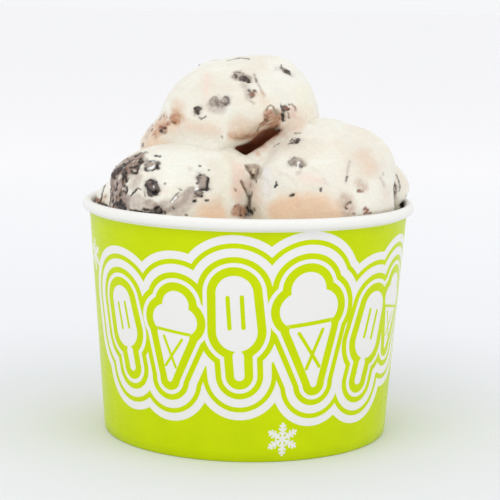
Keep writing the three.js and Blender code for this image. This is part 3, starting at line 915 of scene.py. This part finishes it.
# Relief


def swells(p):
    """The cream's soft lumps, in millimetres inward."""
    return sum(depth * noise(p, size, layer) for depth, size, layer in SWELLS)


def grain(p):
    """Scrape marks and grain, in millimetres inward."""
    scraped = p * np.array(SCRAPE_SQUEEZE) + SCRAPE_SWAY * np.sin(p[:, [1, 2, 0]] / SCRAPE_LENGTH)
    fine = SCRAPE_DEPTH * noise(scraped, SCRAPE_SIZE, 4) + GRAIN_DEPTH * noise(p, GRAIN_SIZE, 5)
    rough = noise(p, ROUGH_REACH, 6)
    torn = np.abs(noise_where(p, rough > ROUGH_FROM, ROUGH_SIZE, 7))
    return fine + ROUGH_DEPTH * smooth_step(ROUGH_FROM, ROUGH_FULL, rough) * torn


def flaw_relief(p):
    """Pits of the crumbly flanks and soft lumps of the smears, in millimetres inward."""
    crumb = patch_amount(p, "crumb")
    caramel = patch_amount(p, "caramel", RELIEF_EDGE)
    grey = patch_amount(p, "grey", RELIEF_EDGE)
    pits = PIT_DEPTH * smooth_step(0.05, 0.5, noise_where(p, crumb > 0, *PIT_NOISE))
    pits += FLANK_DEPTH * noise_where(p, crumb > 0, 3.0, 9)
    soft = CARAMEL_DEPTH * caramel * noise_where(p, caramel > 0, 2.4, 10)
    return crumb * pits + soft + GREY_DEPTH * grey * noise_where(p, grey > 0, 1.8, 11)


def with_details(p, distance):
    """Distance with fine relief, biscuit pieces and marks."""
    distance = distance + grain(p) + flaw_relief(p)
    low, high = p.min(axis=0) - CHUNK_ROOM, p.max(axis=0) + CHUNK_ROOM
    depth, middle, width = MOAT
    for piece in LUMPS:
        if (piece["middle"] < low).any() or (piece["middle"] > high).any():
            continue
        close = near_lump(p, piece)
        gap = chunk_gap(p[close], piece)
        moat = distance[close] + depth * np.exp(-(((gap - middle) / width) ** 2))
        distance[close] = least(moat, gap, CHUNK_BLEND)
    for mark in SEEN_MARKS:
        depth = STYLES[mark["kind"]][3]
        if depth and (mark["high"] > low).all() and (mark["low"] < high).all():
            close, amount = mark_share(p, mark)
            distance[close] += depth * amount
    return distance


# Meshing


def refine(values):
    """A grid's values inside its outermost layer, on a smooth curve, COARSE steps to each of its own."""
    for axis in range(3):
        count = values.shape[axis] - 3
        four = [np.take(values, np.arange(count) + k, axis) for k in range(4)]
        steps = []
        for k in range(COARSE):
            t = k / COARSE
            weights = (
                ((2 - t) * t - 1) * t / 2,
                ((3 * t - 5) * t * t + 2) / 2,
                ((4 - 3 * t) * t + 1) * t / 2,
                (t - 1) * t * t / 2,
            )
            steps.append(sum(np.float32(weight) * part for weight, part in zip(weights, four)))
        shape = (*values.shape[:axis], -1, *values.shape[axis + 1 :])
        values = np.stack(steps, axis + 1).reshape(shape)
    return values


def grid_points(low, step, counts):
    axes = [low[i] + step * np.arange(counts[i], dtype=np.float32) for i in range(3)]
    return np.stack(np.meshgrid(*axes, indexing="ij"), axis=-1)


def plain_fields(low, high, voxel):
    """On a fine grid: its points, each part's plain distance and how far they are outside the tub."""
    wide = voxel * COARSE
    counts = np.ceil((np.array(high) - low) / wide).astype(int) + 3
    coarse = grid_points(low - wide, wide, counts)
    fields = {"bed": refine(bed_distance(coarse))}
    for name, scoop in SCOOPS.items():
        fields[name] = refine(seated_distance(coarse, scoop))
    lumpy = np.zeros(coarse.shape[:-1], np.float32)
    lumpy[...] = swells(coarse.reshape(-1, 3)).reshape(lumpy.shape)
    rest = {"swells": refine(lumpy), "outside": refine(outside_tub(coarse))}
    return grid_points(low, voxel, (counts - 3) * COARSE), fields, rest


def melted(p, fields, rest):
    """All the ice cream as one, with its relief: the parts run into each other where they touch."""
    whole = fields["bed"]
    for name in SCOOPS:
        whole = least(whole, fields[name], WELD)
    whole = whole + rest["swells"]
    near = np.abs(whole) < BAND
    whole[near] = with_details(p[near], whole[near])
    return most(whole, rest["outside"], EDGE_BLEND)


def surface_of(field, low, voxel):
    """Points in millimetres and faces of the surface where the field is nought."""
    grid = openvdb.FloatGrid(GRID_CLIP)
    grid.copyFromArray(np.clip(field, -GRID_CLIP, GRID_CLIP).astype(np.float32))
    points, quads = grid.convertToQuads(isovalue=0.0)
    return points * voxel + low, quads[:, ::-1]


def scoop_surface(name):
    """A scoop out to where it meets the others, and down to its seat."""
    scoop = SCOOPS[name]
    balls = np.array(scoop["balls"])
    seat = scoop.get("seat", SEAT_LEVEL)
    low = (balls[:, :3] - balls[:, 3:]).min(axis=0) - GRID_MARGIN
    high = (balls[:, :3] + balls[:, 3:]).max(axis=0) + GRID_MARGIN
    low[2] = seat - SEAT_MARGIN
    p, fields, rest = plain_fields(low, high, VOXEL)
    others = np.minimum.reduce([fields[other] for other in fields if other != name])
    share = (fields[name] - others) / 2 - LAP
    field = np.maximum(melted(p, fields, rest), share)
    return surface_of(np.maximum(field, seat - p[..., 2]), low, VOXEL)


def bed_surface():
    """The top of the filling between the scoops, with its lower part drawn down to the tub's foot."""
    low = np.array([-RIM_RADIUS, -RIM_RADIUS, BED_FOOT - SEAT_MARGIN])
    high = np.array([RIM_RADIUS, RIM_RADIUS, BED_LEVEL + BED_HEADROOM])
    p, fields, rest = plain_fields(low, high, BED_VOXEL)
    others = np.minimum.reduce([fields[name] for name in SCOOPS])
    share = np.minimum((fields["bed"] - others) / 2, p[..., 2] - SEAT_LEVEL) - LAP
    field = np.maximum(melted(p, fields, rest), share)
    points, faces = surface_of(np.maximum(field, BED_FOOT - p[..., 2]), low, BED_VOXEL)
    drawn_from, floor = BED_FOOT + BED_DRAWN, BASE_TOP + GAP
    deep = points[:, 2] < drawn_from
    height = floor + (points[deep, 2] - BED_FOOT) * (drawn_from - floor)
    points[deep, :2] *= (inner_radius(height) / inner_radius(drawn_from))[:, None]
    points[deep, 2] = height
    return points, faces


# Painting


def mixed(colours, name, amount):
    return colours + amount[:, None] * (linear(*COLOURS[name]) - colours)


def streaks(p, squeeze, sway, size, layer):
    """Places in which noise runs in streaks: squeezed along each axis, and swayed by noise of this size."""
    return p * np.array(squeeze) + noise(p, size, layer)[:, None] * sway


def blotches(p, start, full, size, layer):
    """Blotches of noise of this size: nought where it is under start, and 1 where it is over full."""
    return smooth_step(start, full, noise(p, size, layer))


def cream_colours(p):
    """Cream with whiter and warmer streaks and peach patches."""
    colours = np.tile(linear(*COLOURS["cream"]), (len(p), 1))
    streaked = streaks(p, CREAM_SQUEEZE, 3, 8, 13)
    colours = mixed(colours, "warm", 0.75 * blotches(p, -0.2, 0.7, 14, 14))
    colours = mixed(colours, "white", 0.6 * blotches(streaked, 0.0, 0.7, 5, 15))
    colours = mixed(colours, "peach", 0.7 * patch_amount(p, "peach"))
    colours = mixed(colours, "peach", 0.12 * blotches(streaked, 0.1, 0.8, 7, 18))
    return mixed(colours, "white", 0.8 * patch_amount(p, "white"))


def smear_colours(p, colours):
    """Grey smears of crushed biscuit, caramel and the crumbly flanks."""
    streaked = streaks(p, SMEAR_SQUEEZE, 2, 5, 21)
    grey = patch_amount(p, "grey")
    colours = mixed(colours, "grey", grey * (0.75 + 0.35 * noise(streaked, 1.6, 22)).clip(0, 1))
    colours = mixed(colours, "smear", grey * blotches(streaked, 0.15, 0.6, 1.1, 23) * 0.75)
    caramel = patch_amount(p, "caramel")
    colours = mixed(colours, "caramel", caramel * (0.7 + 0.5 * noise(p, 2.2, 24)).clip(0, 1))
    colours = mixed(colours, "stain", caramel * blotches(p, 0.25, 0.6, 1.5, 25) * 0.8)
    crumb = patch_amount(p, "crumb")
    colours = mixed(colours, "crumb", crumb)
    colours = mixed(colours, "grey", crumb * blotches(p, 0.0, 0.5, 2.6, 26) * 0.7)
    colours = mixed(colours, "pit", crumb * blotches(p, 0.12, 0.3, *PIT_NOISE) * 0.95)
    return mixed(colours, "cream", crumb * blotches(p, 0.35, 0.6, 2.0, 27) * 0.6)


def chunk_colours(p, colours):
    """Biscuit pieces under a thin film of cream, with a grey stain round each."""
    for piece in LUMPS:
        close = near_lump(p, piece)
        if not close.any():
            continue
        near, inked = p[close], colours[close]
        gap = chunk_gap(near, piece)
        inked = mixed(inked, "grey", STAIN_STRENGTH * (1 - smooth_step(*STAIN_EDGE, gap)))
        body = 1 - smooth_step(*BISCUIT_EDGE, gap)
        inked = mixed(inked, "biscuit", BISCUIT_STRENGTH * body)
        flat = (near - piece["middle"].astype(np.float32)) @ piece["axes"][:2].T / piece["radii"][:2]
        share = np.linalg.norm(flat - piece["lean"], axis=-1) + FILM_UNEVEN * noise(near, 1.3, 28)
        cover = body * (1 - smooth_step(piece["film"], piece["film"] + FILM_EDGE, share))
        inked = mixed(inked, "film", FILM_STRENGTH * cover)
        inked = mixed(inked, "grey", 0.8 * cover * blotches(near, 0.0, 0.5, 1.0, 29))
        colours[close] = inked
    return colours


def mark_colours(p, colours):
    for mark in SEEN_MARKS:
        close, amount = mark_share(p, mark)
        if len(close):
            tone = linear(*STYLES[mark["kind"]][0])
            colours[close] += amount[:, None] * (tone - colours[close])
    return colours


def painted(p):
    """The colour of each point of the ice cream."""
    colours = chunk_colours(p, smear_colours(p, cream_colours(p)))
    colours = mark_colours(p, colours)
    # Brown in the hollow under the top scoop's lip, partly painted shade.
    return mixed(colours, "gap", patch_amount(p, "gap"))


def new_mesh(name, points, faces):
    mesh = bpy.data.meshes.new(name)
    mesh.from_pydata((points * MM).tolist(), [], faces.tolist())
    mesh.shade_smooth()
    mesh.update()
    piece = bpy.data.objects.new(name, mesh)
    bpy.context.scene.collection.objects.link(piece)
    return piece


def paint_mesh(piece, points):
    colours = np.ones((len(points), 4), np.float32)
    colours[:, :3] = painted(points.astype(np.float32))
    attribute = piece.data.color_attributes.new("paint", "FLOAT_COLOR", "POINT")
    attribute.data.foreach_set("color", colours.ravel())


def ride_as(piece, slot, *nodes):
    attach(piece, "root")
    if nodes:
        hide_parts(*nodes)


# Shader nodes


def new_material(name):
    material = bpy.data.materials.new(name)
    material.use_nodes = True
    return material, material.node_tree, material.node_tree.nodes["Principled BSDF"]


def put(tree, socket, value):
    if isinstance(value, bpy.types.NodeSocket):
        tree.links.new(value, socket)
    else:
        socket.default_value = value


def set_inputs(tree, node, values):
    """Give a node's named inputs their values or links."""
    for name, value in values.items():
        put(tree, node.inputs[name], value)


def maths(tree, operation, *values, clamp=False):
    """The result of one sum in a shader."""
    node = tree.nodes.new("ShaderNodeMath")
    node.operation = operation
    node.use_clamp = clamp
    for socket, value in zip(node.inputs, values):
        put(tree, socket, value)
    return node.outputs[0]


def blend_colours(tree, amount, first, second, mode="MIX"):
    node = tree.nodes.new("ShaderNodeMix")
    node.data_type = "RGBA"
    node.blend_type = mode
    set_inputs(tree, node, {"Factor": amount, "A": first, "B": second})
    return node.outputs["Result"]


def place_socket(tree):
    """Places on the object, in metres."""
    return tree.nodes.new("ShaderNodeTexCoord").outputs["Object"]


def speckle(tree, size, detail=2.0, roughness=0.5):
    """Soft noise from 0 to 1 with features of this size in millimetres."""
    node = tree.nodes.new("ShaderNodeTexNoise")
    put(tree, node.inputs["Vector"], place_socket(tree))
    set_inputs(tree, node, {"Scale": 1 / (size * MM), "Detail": detail, "Roughness": roughness})
    return node.outputs["Fac"]


def in_range(tree, value, low, high, to_low=0.0, to_high=1.0):
    node = tree.nodes.new("ShaderNodeMapRange")
    ends = {"From Min": low, "From Max": high, "To Min": to_low, "To Max": to_high}
    set_inputs(tree, node, {"Value": value, **ends})
    return node.outputs["Result"]


def bump(tree, height, depth):
    """Bump of this depth in millimetres."""
    node = tree.nodes.new("ShaderNodeBump")
    set_inputs(tree, node, {"Strength": 1.0, "Distance": depth * MM, "Height": height})
    return node.outputs["Normal"]


# Materials of the food


def cream_material():
    material, tree, shader = new_material("ice_cream")
    paint = tree.nodes.new("ShaderNodeAttribute")
    paint.attribute_name = "paint"
    fine = in_range(tree, speckle(tree, 0.7, 3.0), 0.3, 0.7, 0.95, 1.03)
    tone = tree.nodes.new("ShaderNodeCombineColor")
    for socket in tone.inputs:
        put(tree, socket, fine)
    colour = blend_colours(tree, 1.0, paint.outputs["Color"], tone.outputs["Color"], "MULTIPLY")
    # Less light passes through biscuit than through cream.
    lightness = tree.nodes.new("ShaderNodeRGBToBW")
    put(tree, lightness.inputs["Color"], paint.outputs["Color"])
    looks = {
        "Base Color": colour,
        "Roughness": in_range(tree, speckle(tree, 6.0, 2.0), 0.4, 0.6, 0.28, 0.46),
        "Specular IOR Level": 0.45,
        "Subsurface Weight": in_range(tree, lightness.outputs["Val"], 0.25, 0.7, 0.0, 0.3),
        "Subsurface Radius": (1.0, 0.75, 0.6),
        "Subsurface Scale": 0.9 * MM,
        "Normal": bump(tree, maths(tree, "ADD", speckle(tree, 0.5, 2.0), speckle(tree, 1.6, 2.0)), 0.09),
    }
    set_inputs(tree, shader, looks)
    return material


def biscuit_material():
    material, tree, shader = new_material("biscuit")
    colour = blend_colours(tree, speckle(tree, 0.8, 3.0), shade("biscuit"), shade("crumb"))
    normal = bump(tree, speckle(tree, 0.35, 2.0), 0.08)
    set_inputs(tree, shader, {"Base Color": colour, "Roughness": 0.6, "Normal": normal})
    return material


# Biscuit crumbs


def icosahedron():
    golden = (1 + math.sqrt(5)) / 2
    points = []
    for a, b in itertools.product((-1, 1), (-golden, golden)):
        points += [(0, a, b), (a, b, 0), (b, 0, a)]
    points = np.array(points, float)
    edge = 2.1
    apart = np.linalg.norm(points[:, None] - points, axis=-1)
    near = [set(np.flatnonzero(row < edge)) - {i} for i, row in enumerate(apart)]
    faces = []
    for i, j, k in itertools.combinations(range(len(points)), 3):
        if j in near[i] and k in near[i] and k in near[j]:
            turn = np.cross(points[j] - points[i], points[k] - points[i]) @ points[i]
            faces.append((i, j, k) if turn > 0 else (i, k, j))
    return points / np.linalg.norm(points[0]), np.array(faces)


def crumbs_mesh(name, places, normals, sizes):
    """Uneven crumbs, each half sunk in the cream, as one mesh."""
    ball, faces = icosahedron()
    count = len(places)
    uneven = RANDOM.uniform(*CRUMB_UNEVEN, (count, len(ball), 1))
    stretch = RANDOM.uniform(*CRUMB_STRETCH, (count, 1, 3))
    points = ball * uneven * stretch * (sizes / 2)[:, None, None]
    points += (places - normals * (sizes * CRUMB_SUNK)[:, None])[:, None]
    all_faces = (faces + np.arange(count)[:, None, None] * len(ball)).reshape(-1, 3)
    piece = new_mesh(name, points.reshape(-1, 3), all_faces)
    piece.data.shade_flat()
    return piece


def crumb_spots(p, normals, count, weight):
    """Seeded places on the surface, more of them where the weight is high."""
    chosen = RANDOM.choice(len(p), count, replace=False, p=weight / weight.sum())
    return p[chosen], normals[chosen]


def outer_points(name, p):
    """Which of a scoop's points aren't hidden in its neighbours."""
    others = [scoop_distance(p, scoop) for other, scoop in SCOOPS.items() if other != name]
    return np.minimum.reduce([*others, bed_distance(p)]) > CRUMB_CLEAR


def scatter_crumbs(surfaces):
    places, normals, sizes = [], [], []
    for name, (p, n) in surfaces.items():
        shown = outer_points(name, p)
        p, n = p[shown], n[shown]
        spoiled = sum(weight * patch_amount(p, kind) for kind, weight in CRUMB_WEIGHTS.items())
        spots, up = crumb_spots(p, n, CRUMB_COUNT, (spoiled + CRUMB_LEAST_WEIGHT).astype(float))
        places.append(spots)
        normals.append(up)
        sizes.append(CRUMB_SMALLEST + (CRUMB_LARGEST - CRUMB_SMALLEST) * RANDOM.random(CRUMB_COUNT) ** 2)
    return crumbs_mesh("biscuit_crumbs", *(np.concatenate(part) for part in (places, normals, sizes)))


def normals_of(mesh):
    normals = np.zeros(len(mesh.vertices) * 3)
    mesh.vertices.foreach_get("normal", normals)
    return normals.reshape(-1, 3)


def make_cream(name, points, faces, material, node):
    """One painted piece of ice cream. Its points and their normals are given back."""
    piece = new_mesh(name, points, faces)
    paint_mesh(piece, points)
    piece.data.materials.append(material)
    ride_as(piece, "ice_cream", node)
    return points, normals_of(piece.data)


def make_ice_cream():
    cream = cream_material()
    surfaces = {}
    for name in SCOOPS:
        piece_name = "cream_" + name.removeprefix("scoop_")
        surfaces[name] = make_cream(piece_name, *scoop_surface(name), cream, name)
    make_cream("cream_bed", *bed_surface(), cream, "ice_cream_bed")
    crumbs = scatter_crumbs(surfaces)
    crumbs.data.materials.append(biscuit_material())
    ride_as(crumbs, "ice_cream")


# Tub


def wall_radius(height):
    return WALL_FOOT_RADIUS + (WALL_TOP_RADIUS - WALL_FOOT_RADIUS) * height / NECK


def inner_radius(height):
    return wall_radius(height) - PAPER


def wall_profile():
    """Radius, height and kind of each point: the printed outside first, then the bare paper."""
    outside = [(wall_radius(0) - FOOT_ROUND, 0.0)]
    outside += [(wall_radius(h), h) for h in np.linspace(FOOT_ROUND, NECK - RIM_FLARE, WALL_POINTS)]
    centre, middle = RIM_RADIUS - ROLL_WIDTH / 2, TUB_HEIGHT - ROLL_HEIGHT / 2
    turns = np.radians(np.linspace(ROLL_FROM, ROLL_TO, ROLL_POINTS))
    roll = [(centre + ROLL_WIDTH / 2 * math.cos(t), middle + ROLL_HEIGHT / 2 * math.sin(t)) for t in turns]
    fold = inner_radius(PAPER) - GAP - FLANGE_PAPER - GAP
    fold_top = inner_radius(FOLD_TOP) - GAP - FLANGE_PAPER - GAP
    inside = [
        (inner_radius(NECK), NECK),
        (inner_radius(PAPER), PAPER),
        (fold, PAPER),
        (fold_top, FOLD_TOP),
        (fold_top - PAPER, FOLD_TOP),
        (fold - PAPER, 0.0),
    ]
    return np.array(outside + roll + inside), len(outside)


def wall_angles():
    """Even steps round the wall, with close pairs where the lapped paper steps up."""
    even = np.arange(AROUND) * 2 * math.pi / AROUND
    half = SEAM_WIDTH / 2 / WALL_TOP_RADIUS
    edge = SEAM_EDGE / WALL_TOP_RADIUS
    middle = math.radians(SEAM_ANGLE)
    steps = [middle + side * (half + shift) for side in (-1, 1) for shift in (-edge, edge)]
    return np.sort(np.concatenate([even, steps]))


def seam_rise(angles):
    half = SEAM_WIDTH / 2 / WALL_TOP_RADIUS
    return SEAM_THICKNESS * (np.abs(angles - math.radians(SEAM_ANGLE)) < half)


def wall_map(mesh, angles, columns, rows, outside):
    """A map for baking: the printed outside in two rows of half a turn each, the rest in a strip."""
    layer = mesh.uv_layers.new(name="OFBake")
    turns = np.append(angles, angles[0] + 2 * math.pi) / (2 * math.pi)
    spots = []
    for j, i in itertools.product(range(rows), range(columns)):
        for di, dj in ((0, 0), (1, 0), (1, 1), (0, 1)):
            share = turns[i + di]
            if j < outside - 1:
                row = 0 if turns[i] < 0.5 else 1
                up = (j + dj) / (outside - 1)
                spots.append((2 * share - row, MAP_LOW + MAP_STEP * row + MAP_ROW * up))
            else:
                up = (j + dj - outside + 1) / (rows - outside + 1)
                spots.append((share, MAP_STRIP_LOW + MAP_STRIP * up))
    layer.data.foreach_set("uv", np.clip(np.array(spots), 0, 1).ravel())


def make_wall():
    profile, outside = wall_profile()
    angles = wall_angles()
    rows, columns = len(profile), len(angles)
    rise = np.zeros((rows, columns))
    rise[1 : outside - 1] = seam_rise(angles)
    radius = profile[:, :1] + rise
    height = np.broadcast_to(profile[:, 1:], radius.shape)
    points = np.stack([radius * np.cos(angles), radius * np.sin(angles), height], axis=-1)
    index = np.arange(rows * columns).reshape(rows, columns)
    after, above = np.roll(index, -1, 1), np.roll(index, -1, 0)
    faces = np.stack([index, after, np.roll(above, -1, 1), above], axis=-1)
    wall = new_mesh("paper_wall", points.reshape(-1, 3), faces.reshape(-1, 4))
    wall_map(wall.data, angles, columns, rows, outside)
    wall.data.materials.append(printed_paper())
    wall.data.materials.append(bare_paper())
    kinds = np.repeat(np.arange(rows) >= outside - 1, columns).astype(np.int32)
    wall.data.polygons.foreach_set("material_index", kinds)
    ride_as(wall, "green_paper", "cup_wall")
    return wall


# Print on the tub, in millimetres along and up the wall


def stroke_distance(tree, along, up, stroke):
    """Distance to a stroke from one end and radius to another."""
    x0, y0, x1, y1, r0, r1 = stroke
    dx, dy = x1 - x0, y1 - y0
    square = dx * dx + dy * dy
    px = maths(tree, "SUBTRACT", along, x0)
    py = maths(tree, "SUBTRACT", up, y0)
    share = maths(tree, "MULTIPLY_ADD", px, dx / square, maths(tree, "MULTIPLY", py, dy / square), clamp=True)
    ex = maths(tree, "MULTIPLY_ADD", share, -dx, px)
    ey = maths(tree, "MULTIPLY_ADD", share, -dy, py)
    squares = maths(tree, "MULTIPLY_ADD", ex, ex, maths(tree, "MULTIPLY", ey, ey))
    radius = maths(tree, "MULTIPLY_ADD", share, r1 - r0, r0)
    return maths(tree, "SUBTRACT", maths(tree, "SQRT", squares), radius)


def nearest_stroke(tree, along, up, strokes):
    nearest = stroke_distance(tree, along, up, strokes[0])
    for stroke in strokes[1:]:
        nearest = maths(tree, "MINIMUM", nearest, stroke_distance(tree, along, up, stroke))
    return nearest


def on_wall(stroke, x, y, lean, size):
    """A motif's stroke, sized, leaned and put in its place on the wall."""
    sine, cosine = math.sin(math.radians(lean)), math.cos(math.radians(lean))
    spots = []
    for across, along in (stroke[:2], stroke[2:4]):
        spots += [x + size * (cosine * across + sine * along), y + size * (cosine * along - sine * across)]
    return (*spots, stroke[4] * size, stroke[5] * size)


def flake_distance(tree, along, up):
    """Distance to the nearer of two six-armed snow crystals."""
    (x0, y0), (x1, y1) = FLAKES
    second = maths(tree, "LESS_THAN", along, (x0 + x1) / 2)
    px = maths(tree, "SUBTRACT", along, maths(tree, "MULTIPLY_ADD", second, x1 - x0, x0))
    py = maths(tree, "SUBTRACT", up, maths(tree, "MULTIPLY_ADD", second, y1 - y0, y0))
    squares = maths(tree, "MULTIPLY_ADD", px, px, maths(tree, "MULTIPLY", py, py))
    reach = maths(tree, "SQRT", squares)
    turn = maths(tree, "ARCTAN2", px, py)
    sector = maths(tree, "ABSOLUTE", maths(tree, "WRAP", turn, math.pi / 6, -math.pi / 6))
    fx = maths(tree, "MULTIPLY", reach, maths(tree, "COSINE", sector))
    fy = maths(tree, "MULTIPLY", reach, maths(tree, "SINE", sector))
    arms = [(0, 0, FLAKE_RADIUS, 0, 0.42, 0.42)]
    for start, length in FLAKE_BRANCHES:
        x, out = start * FLAKE_RADIUS, length * FLAKE_RADIUS
        arms.append((x, 0, x + out * 0.6, out * 0.8, 0.38, 0.32))
    return nearest_stroke(tree, fx, fy, arms)


def print_coverage(tree):
    """1 where the print is white and 0 where the paper is green."""
    spots = tree.nodes.new("ShaderNodeSeparateXYZ")
    tree.links.new(place_socket(tree), spots.inputs[0])
    turn = maths(tree, "ARCTAN2", spots.outputs["X"], maths(tree, "MULTIPLY", spots.outputs["Y"], -1.0))
    round_wall = maths(tree, "MULTIPLY", turn, PRINT_RADIUS)
    along = maths(tree, "WRAP", round_wall, PRINT_REPEAT / 2, -PRINT_REPEAT / 2)
    up = maths(tree, "DIVIDE", spots.outputs["Z"], MM)
    strokes, lines = [], []
    for (drawn, left), *place in MOTIFS:
        strokes += [on_wall(stroke, *place) for stroke in drawn]
        lines += [on_wall(stroke, *place) for stroke in left]
    shape = nearest_stroke(tree, along, up, strokes)
    ramp = tree.nodes.new("ShaderNodeValToRGB")
    ramp.color_ramp.interpolation = "CONSTANT"
    reach = sum(BANDS) + 2
    tree.links.new(in_range(tree, shape, -1.0, reach - 1), ramp.inputs["Fac"])
    edges = list(itertools.accumulate([0.0, *BANDS]))
    stops = ramp.color_ramp.elements
    stops[0].color = (1, 1, 1, 1)
    stops.remove(stops[1])
    for number, edge in enumerate(edges):
        value = float(number % 2)
        stops.new((edge + 1) / reach).color = (value, value, value, 1)
    line = maths(tree, "GREATER_THAN", nearest_stroke(tree, along, up, lines), 0.0)
    inside = maths(tree, "LESS_THAN", shape, 0.0)
    kept = maths(tree, "SUBTRACT", 1.0, maths(tree, "MULTIPLY", inside, maths(tree, "SUBTRACT", 1.0, line)))
    bands = maths(tree, "MULTIPLY", ramp.outputs["Color"], kept)
    return maths(tree, "MAXIMUM", bands, maths(tree, "LESS_THAN", flake_distance(tree, along, up), 0.0))


def paper_looks(tree, colour, roughness, gloss):
    return {
        "Base Color": colour,
        "Specular IOR Level": gloss,
        "Roughness": in_range(tree, speckle(tree, 4.0), 0.3, 0.7, roughness, roughness + 0.08),
        "Normal": bump(tree, maths(tree, "ADD", speckle(tree, 0.6, 3.0), speckle(tree, 5.0, 1.0)), 0.03),
    }


def printed_paper():
    material, tree, shader = new_material("printed_paper")
    mottle = in_range(tree, speckle(tree, 9.0, 3.0), 0.3, 0.7)
    green = blend_colours(tree, mottle, shade("green"), shade("light_green"))
    colour = blend_colours(tree, print_coverage(tree), green, shade("print"))
    sheen = {"Sheen Weight": 0.05, "Sheen Roughness": 0.25}
    set_inputs(tree, shader, paper_looks(tree, colour, 0.25, 0.08) | sheen)
    return material


def bare_paper():
    material, tree, shader = new_material("bare_paper")
    colour = blend_colours(tree, speckle(tree, 1.2, 4.0), shade("paper"), shade("paper_fibre"))
    set_inputs(tree, shader, paper_looks(tree, colour, 0.42, 0.4))
    return material


def dress_base(paper):
    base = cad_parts["cup_base"]
    base.data.materials.clear()
    base.data.materials.append(paper)


# Camera


def make_camera():
    data = bpy.data.cameras.new("camera")
    data.sensor_width = SENSOR
    data.lens = SENSOR * FOCAL_PIXELS / PHOTO_SIDE
    data.clip_start = 0.01
    data.clip_end = 100
    camera = bpy.data.objects.new("camera", data)
    bpy.context.scene.collection.objects.link(camera)
    turn = Matrix(camera_axes().T.tolist())
    camera.matrix_world = Matrix.Translation(Vector(EYE) * MM) @ turn.to_4x4()
    bpy.context.scene.camera = camera


# Floor and light


def make_floor():
    """A wide pale floor with painted shade, a little darker close to the tub."""
    side = FLOOR_SIDE / MM / 2
    corners = np.array([(-side, -side, 0), (side, -side, 0), (side, side, 0), (-side, side, 0)], float)
    floor = new_mesh("floor", corners, np.array([(0, 1, 2, 3)]))
    material, tree, shader = new_material("floor")
    length = tree.nodes.new("ShaderNodeVectorMath")
    length.operation = "LENGTH"
    tree.links.new(place_socket(tree), length.inputs[0])
    ramp = tree.nodes.new("ShaderNodeValToRGB")
    tree.links.new(maths(tree, "DIVIDE", length.outputs["Value"], FLOOR_REACH), ramp.inputs["Fac"])
    stops = ramp.color_ramp.elements
    stops[0].color = (*linear(*FLOOR_SHADE_TONES[0][1]), 1)
    stops[1].color = (*linear(*FLOOR_SHADE_TONES[-1][1]), 1)
    for distance, tone in FLOOR_SHADE_TONES[1:-1]:
        stops.new(distance / FLOOR_REACH).color = (*linear(*tone), 1)
    looks = {"Base Color": ramp.outputs["Color"], "Roughness": 0.7, "Specular IOR Level": 0.2}
    set_inputs(tree, shader, looks)
    floor.data.materials.append(material)


def soft_light(name, place, size, energy):
    data = bpy.data.lights.new(name, "AREA")
    data.size = size
    data.energy = energy
    light = bpy.data.objects.new(name, data)
    light.location = place
    light.rotation_mode = "QUATERNION"
    light.rotation_quaternion = (Vector(LIGHT_AIM) - light.location).to_track_quat("-Z", "Y")
    bpy.context.scene.collection.objects.link(light)


def make_world():
    world = bpy.data.worlds.new("world")
    world.use_nodes = True
    background = world.node_tree.nodes["Background"]
    background.inputs["Color"].default_value = (*linear(*WORLD_TONE), 1)
    background.inputs["Strength"].default_value = WORLD_STRENGTH
    bpy.context.scene.world = world
    bpy.context.scene.view_settings.view_transform = "Standard"


LUMPS = all_lumps()
SEEN_MARKS = seen_marks()
for patch_kind, patch_places in back_patches().items():
    PATCHES[patch_kind] += patch_places

make_camera()
make_ice_cream()
make_wall()
dress_base(bpy.data.materials["bare_paper"])
make_floor()
make_world()
for light_name, (light_place, light_size, light_energy) in LIGHTS.items():
    soft_light(light_name, light_place, light_size, light_energy)
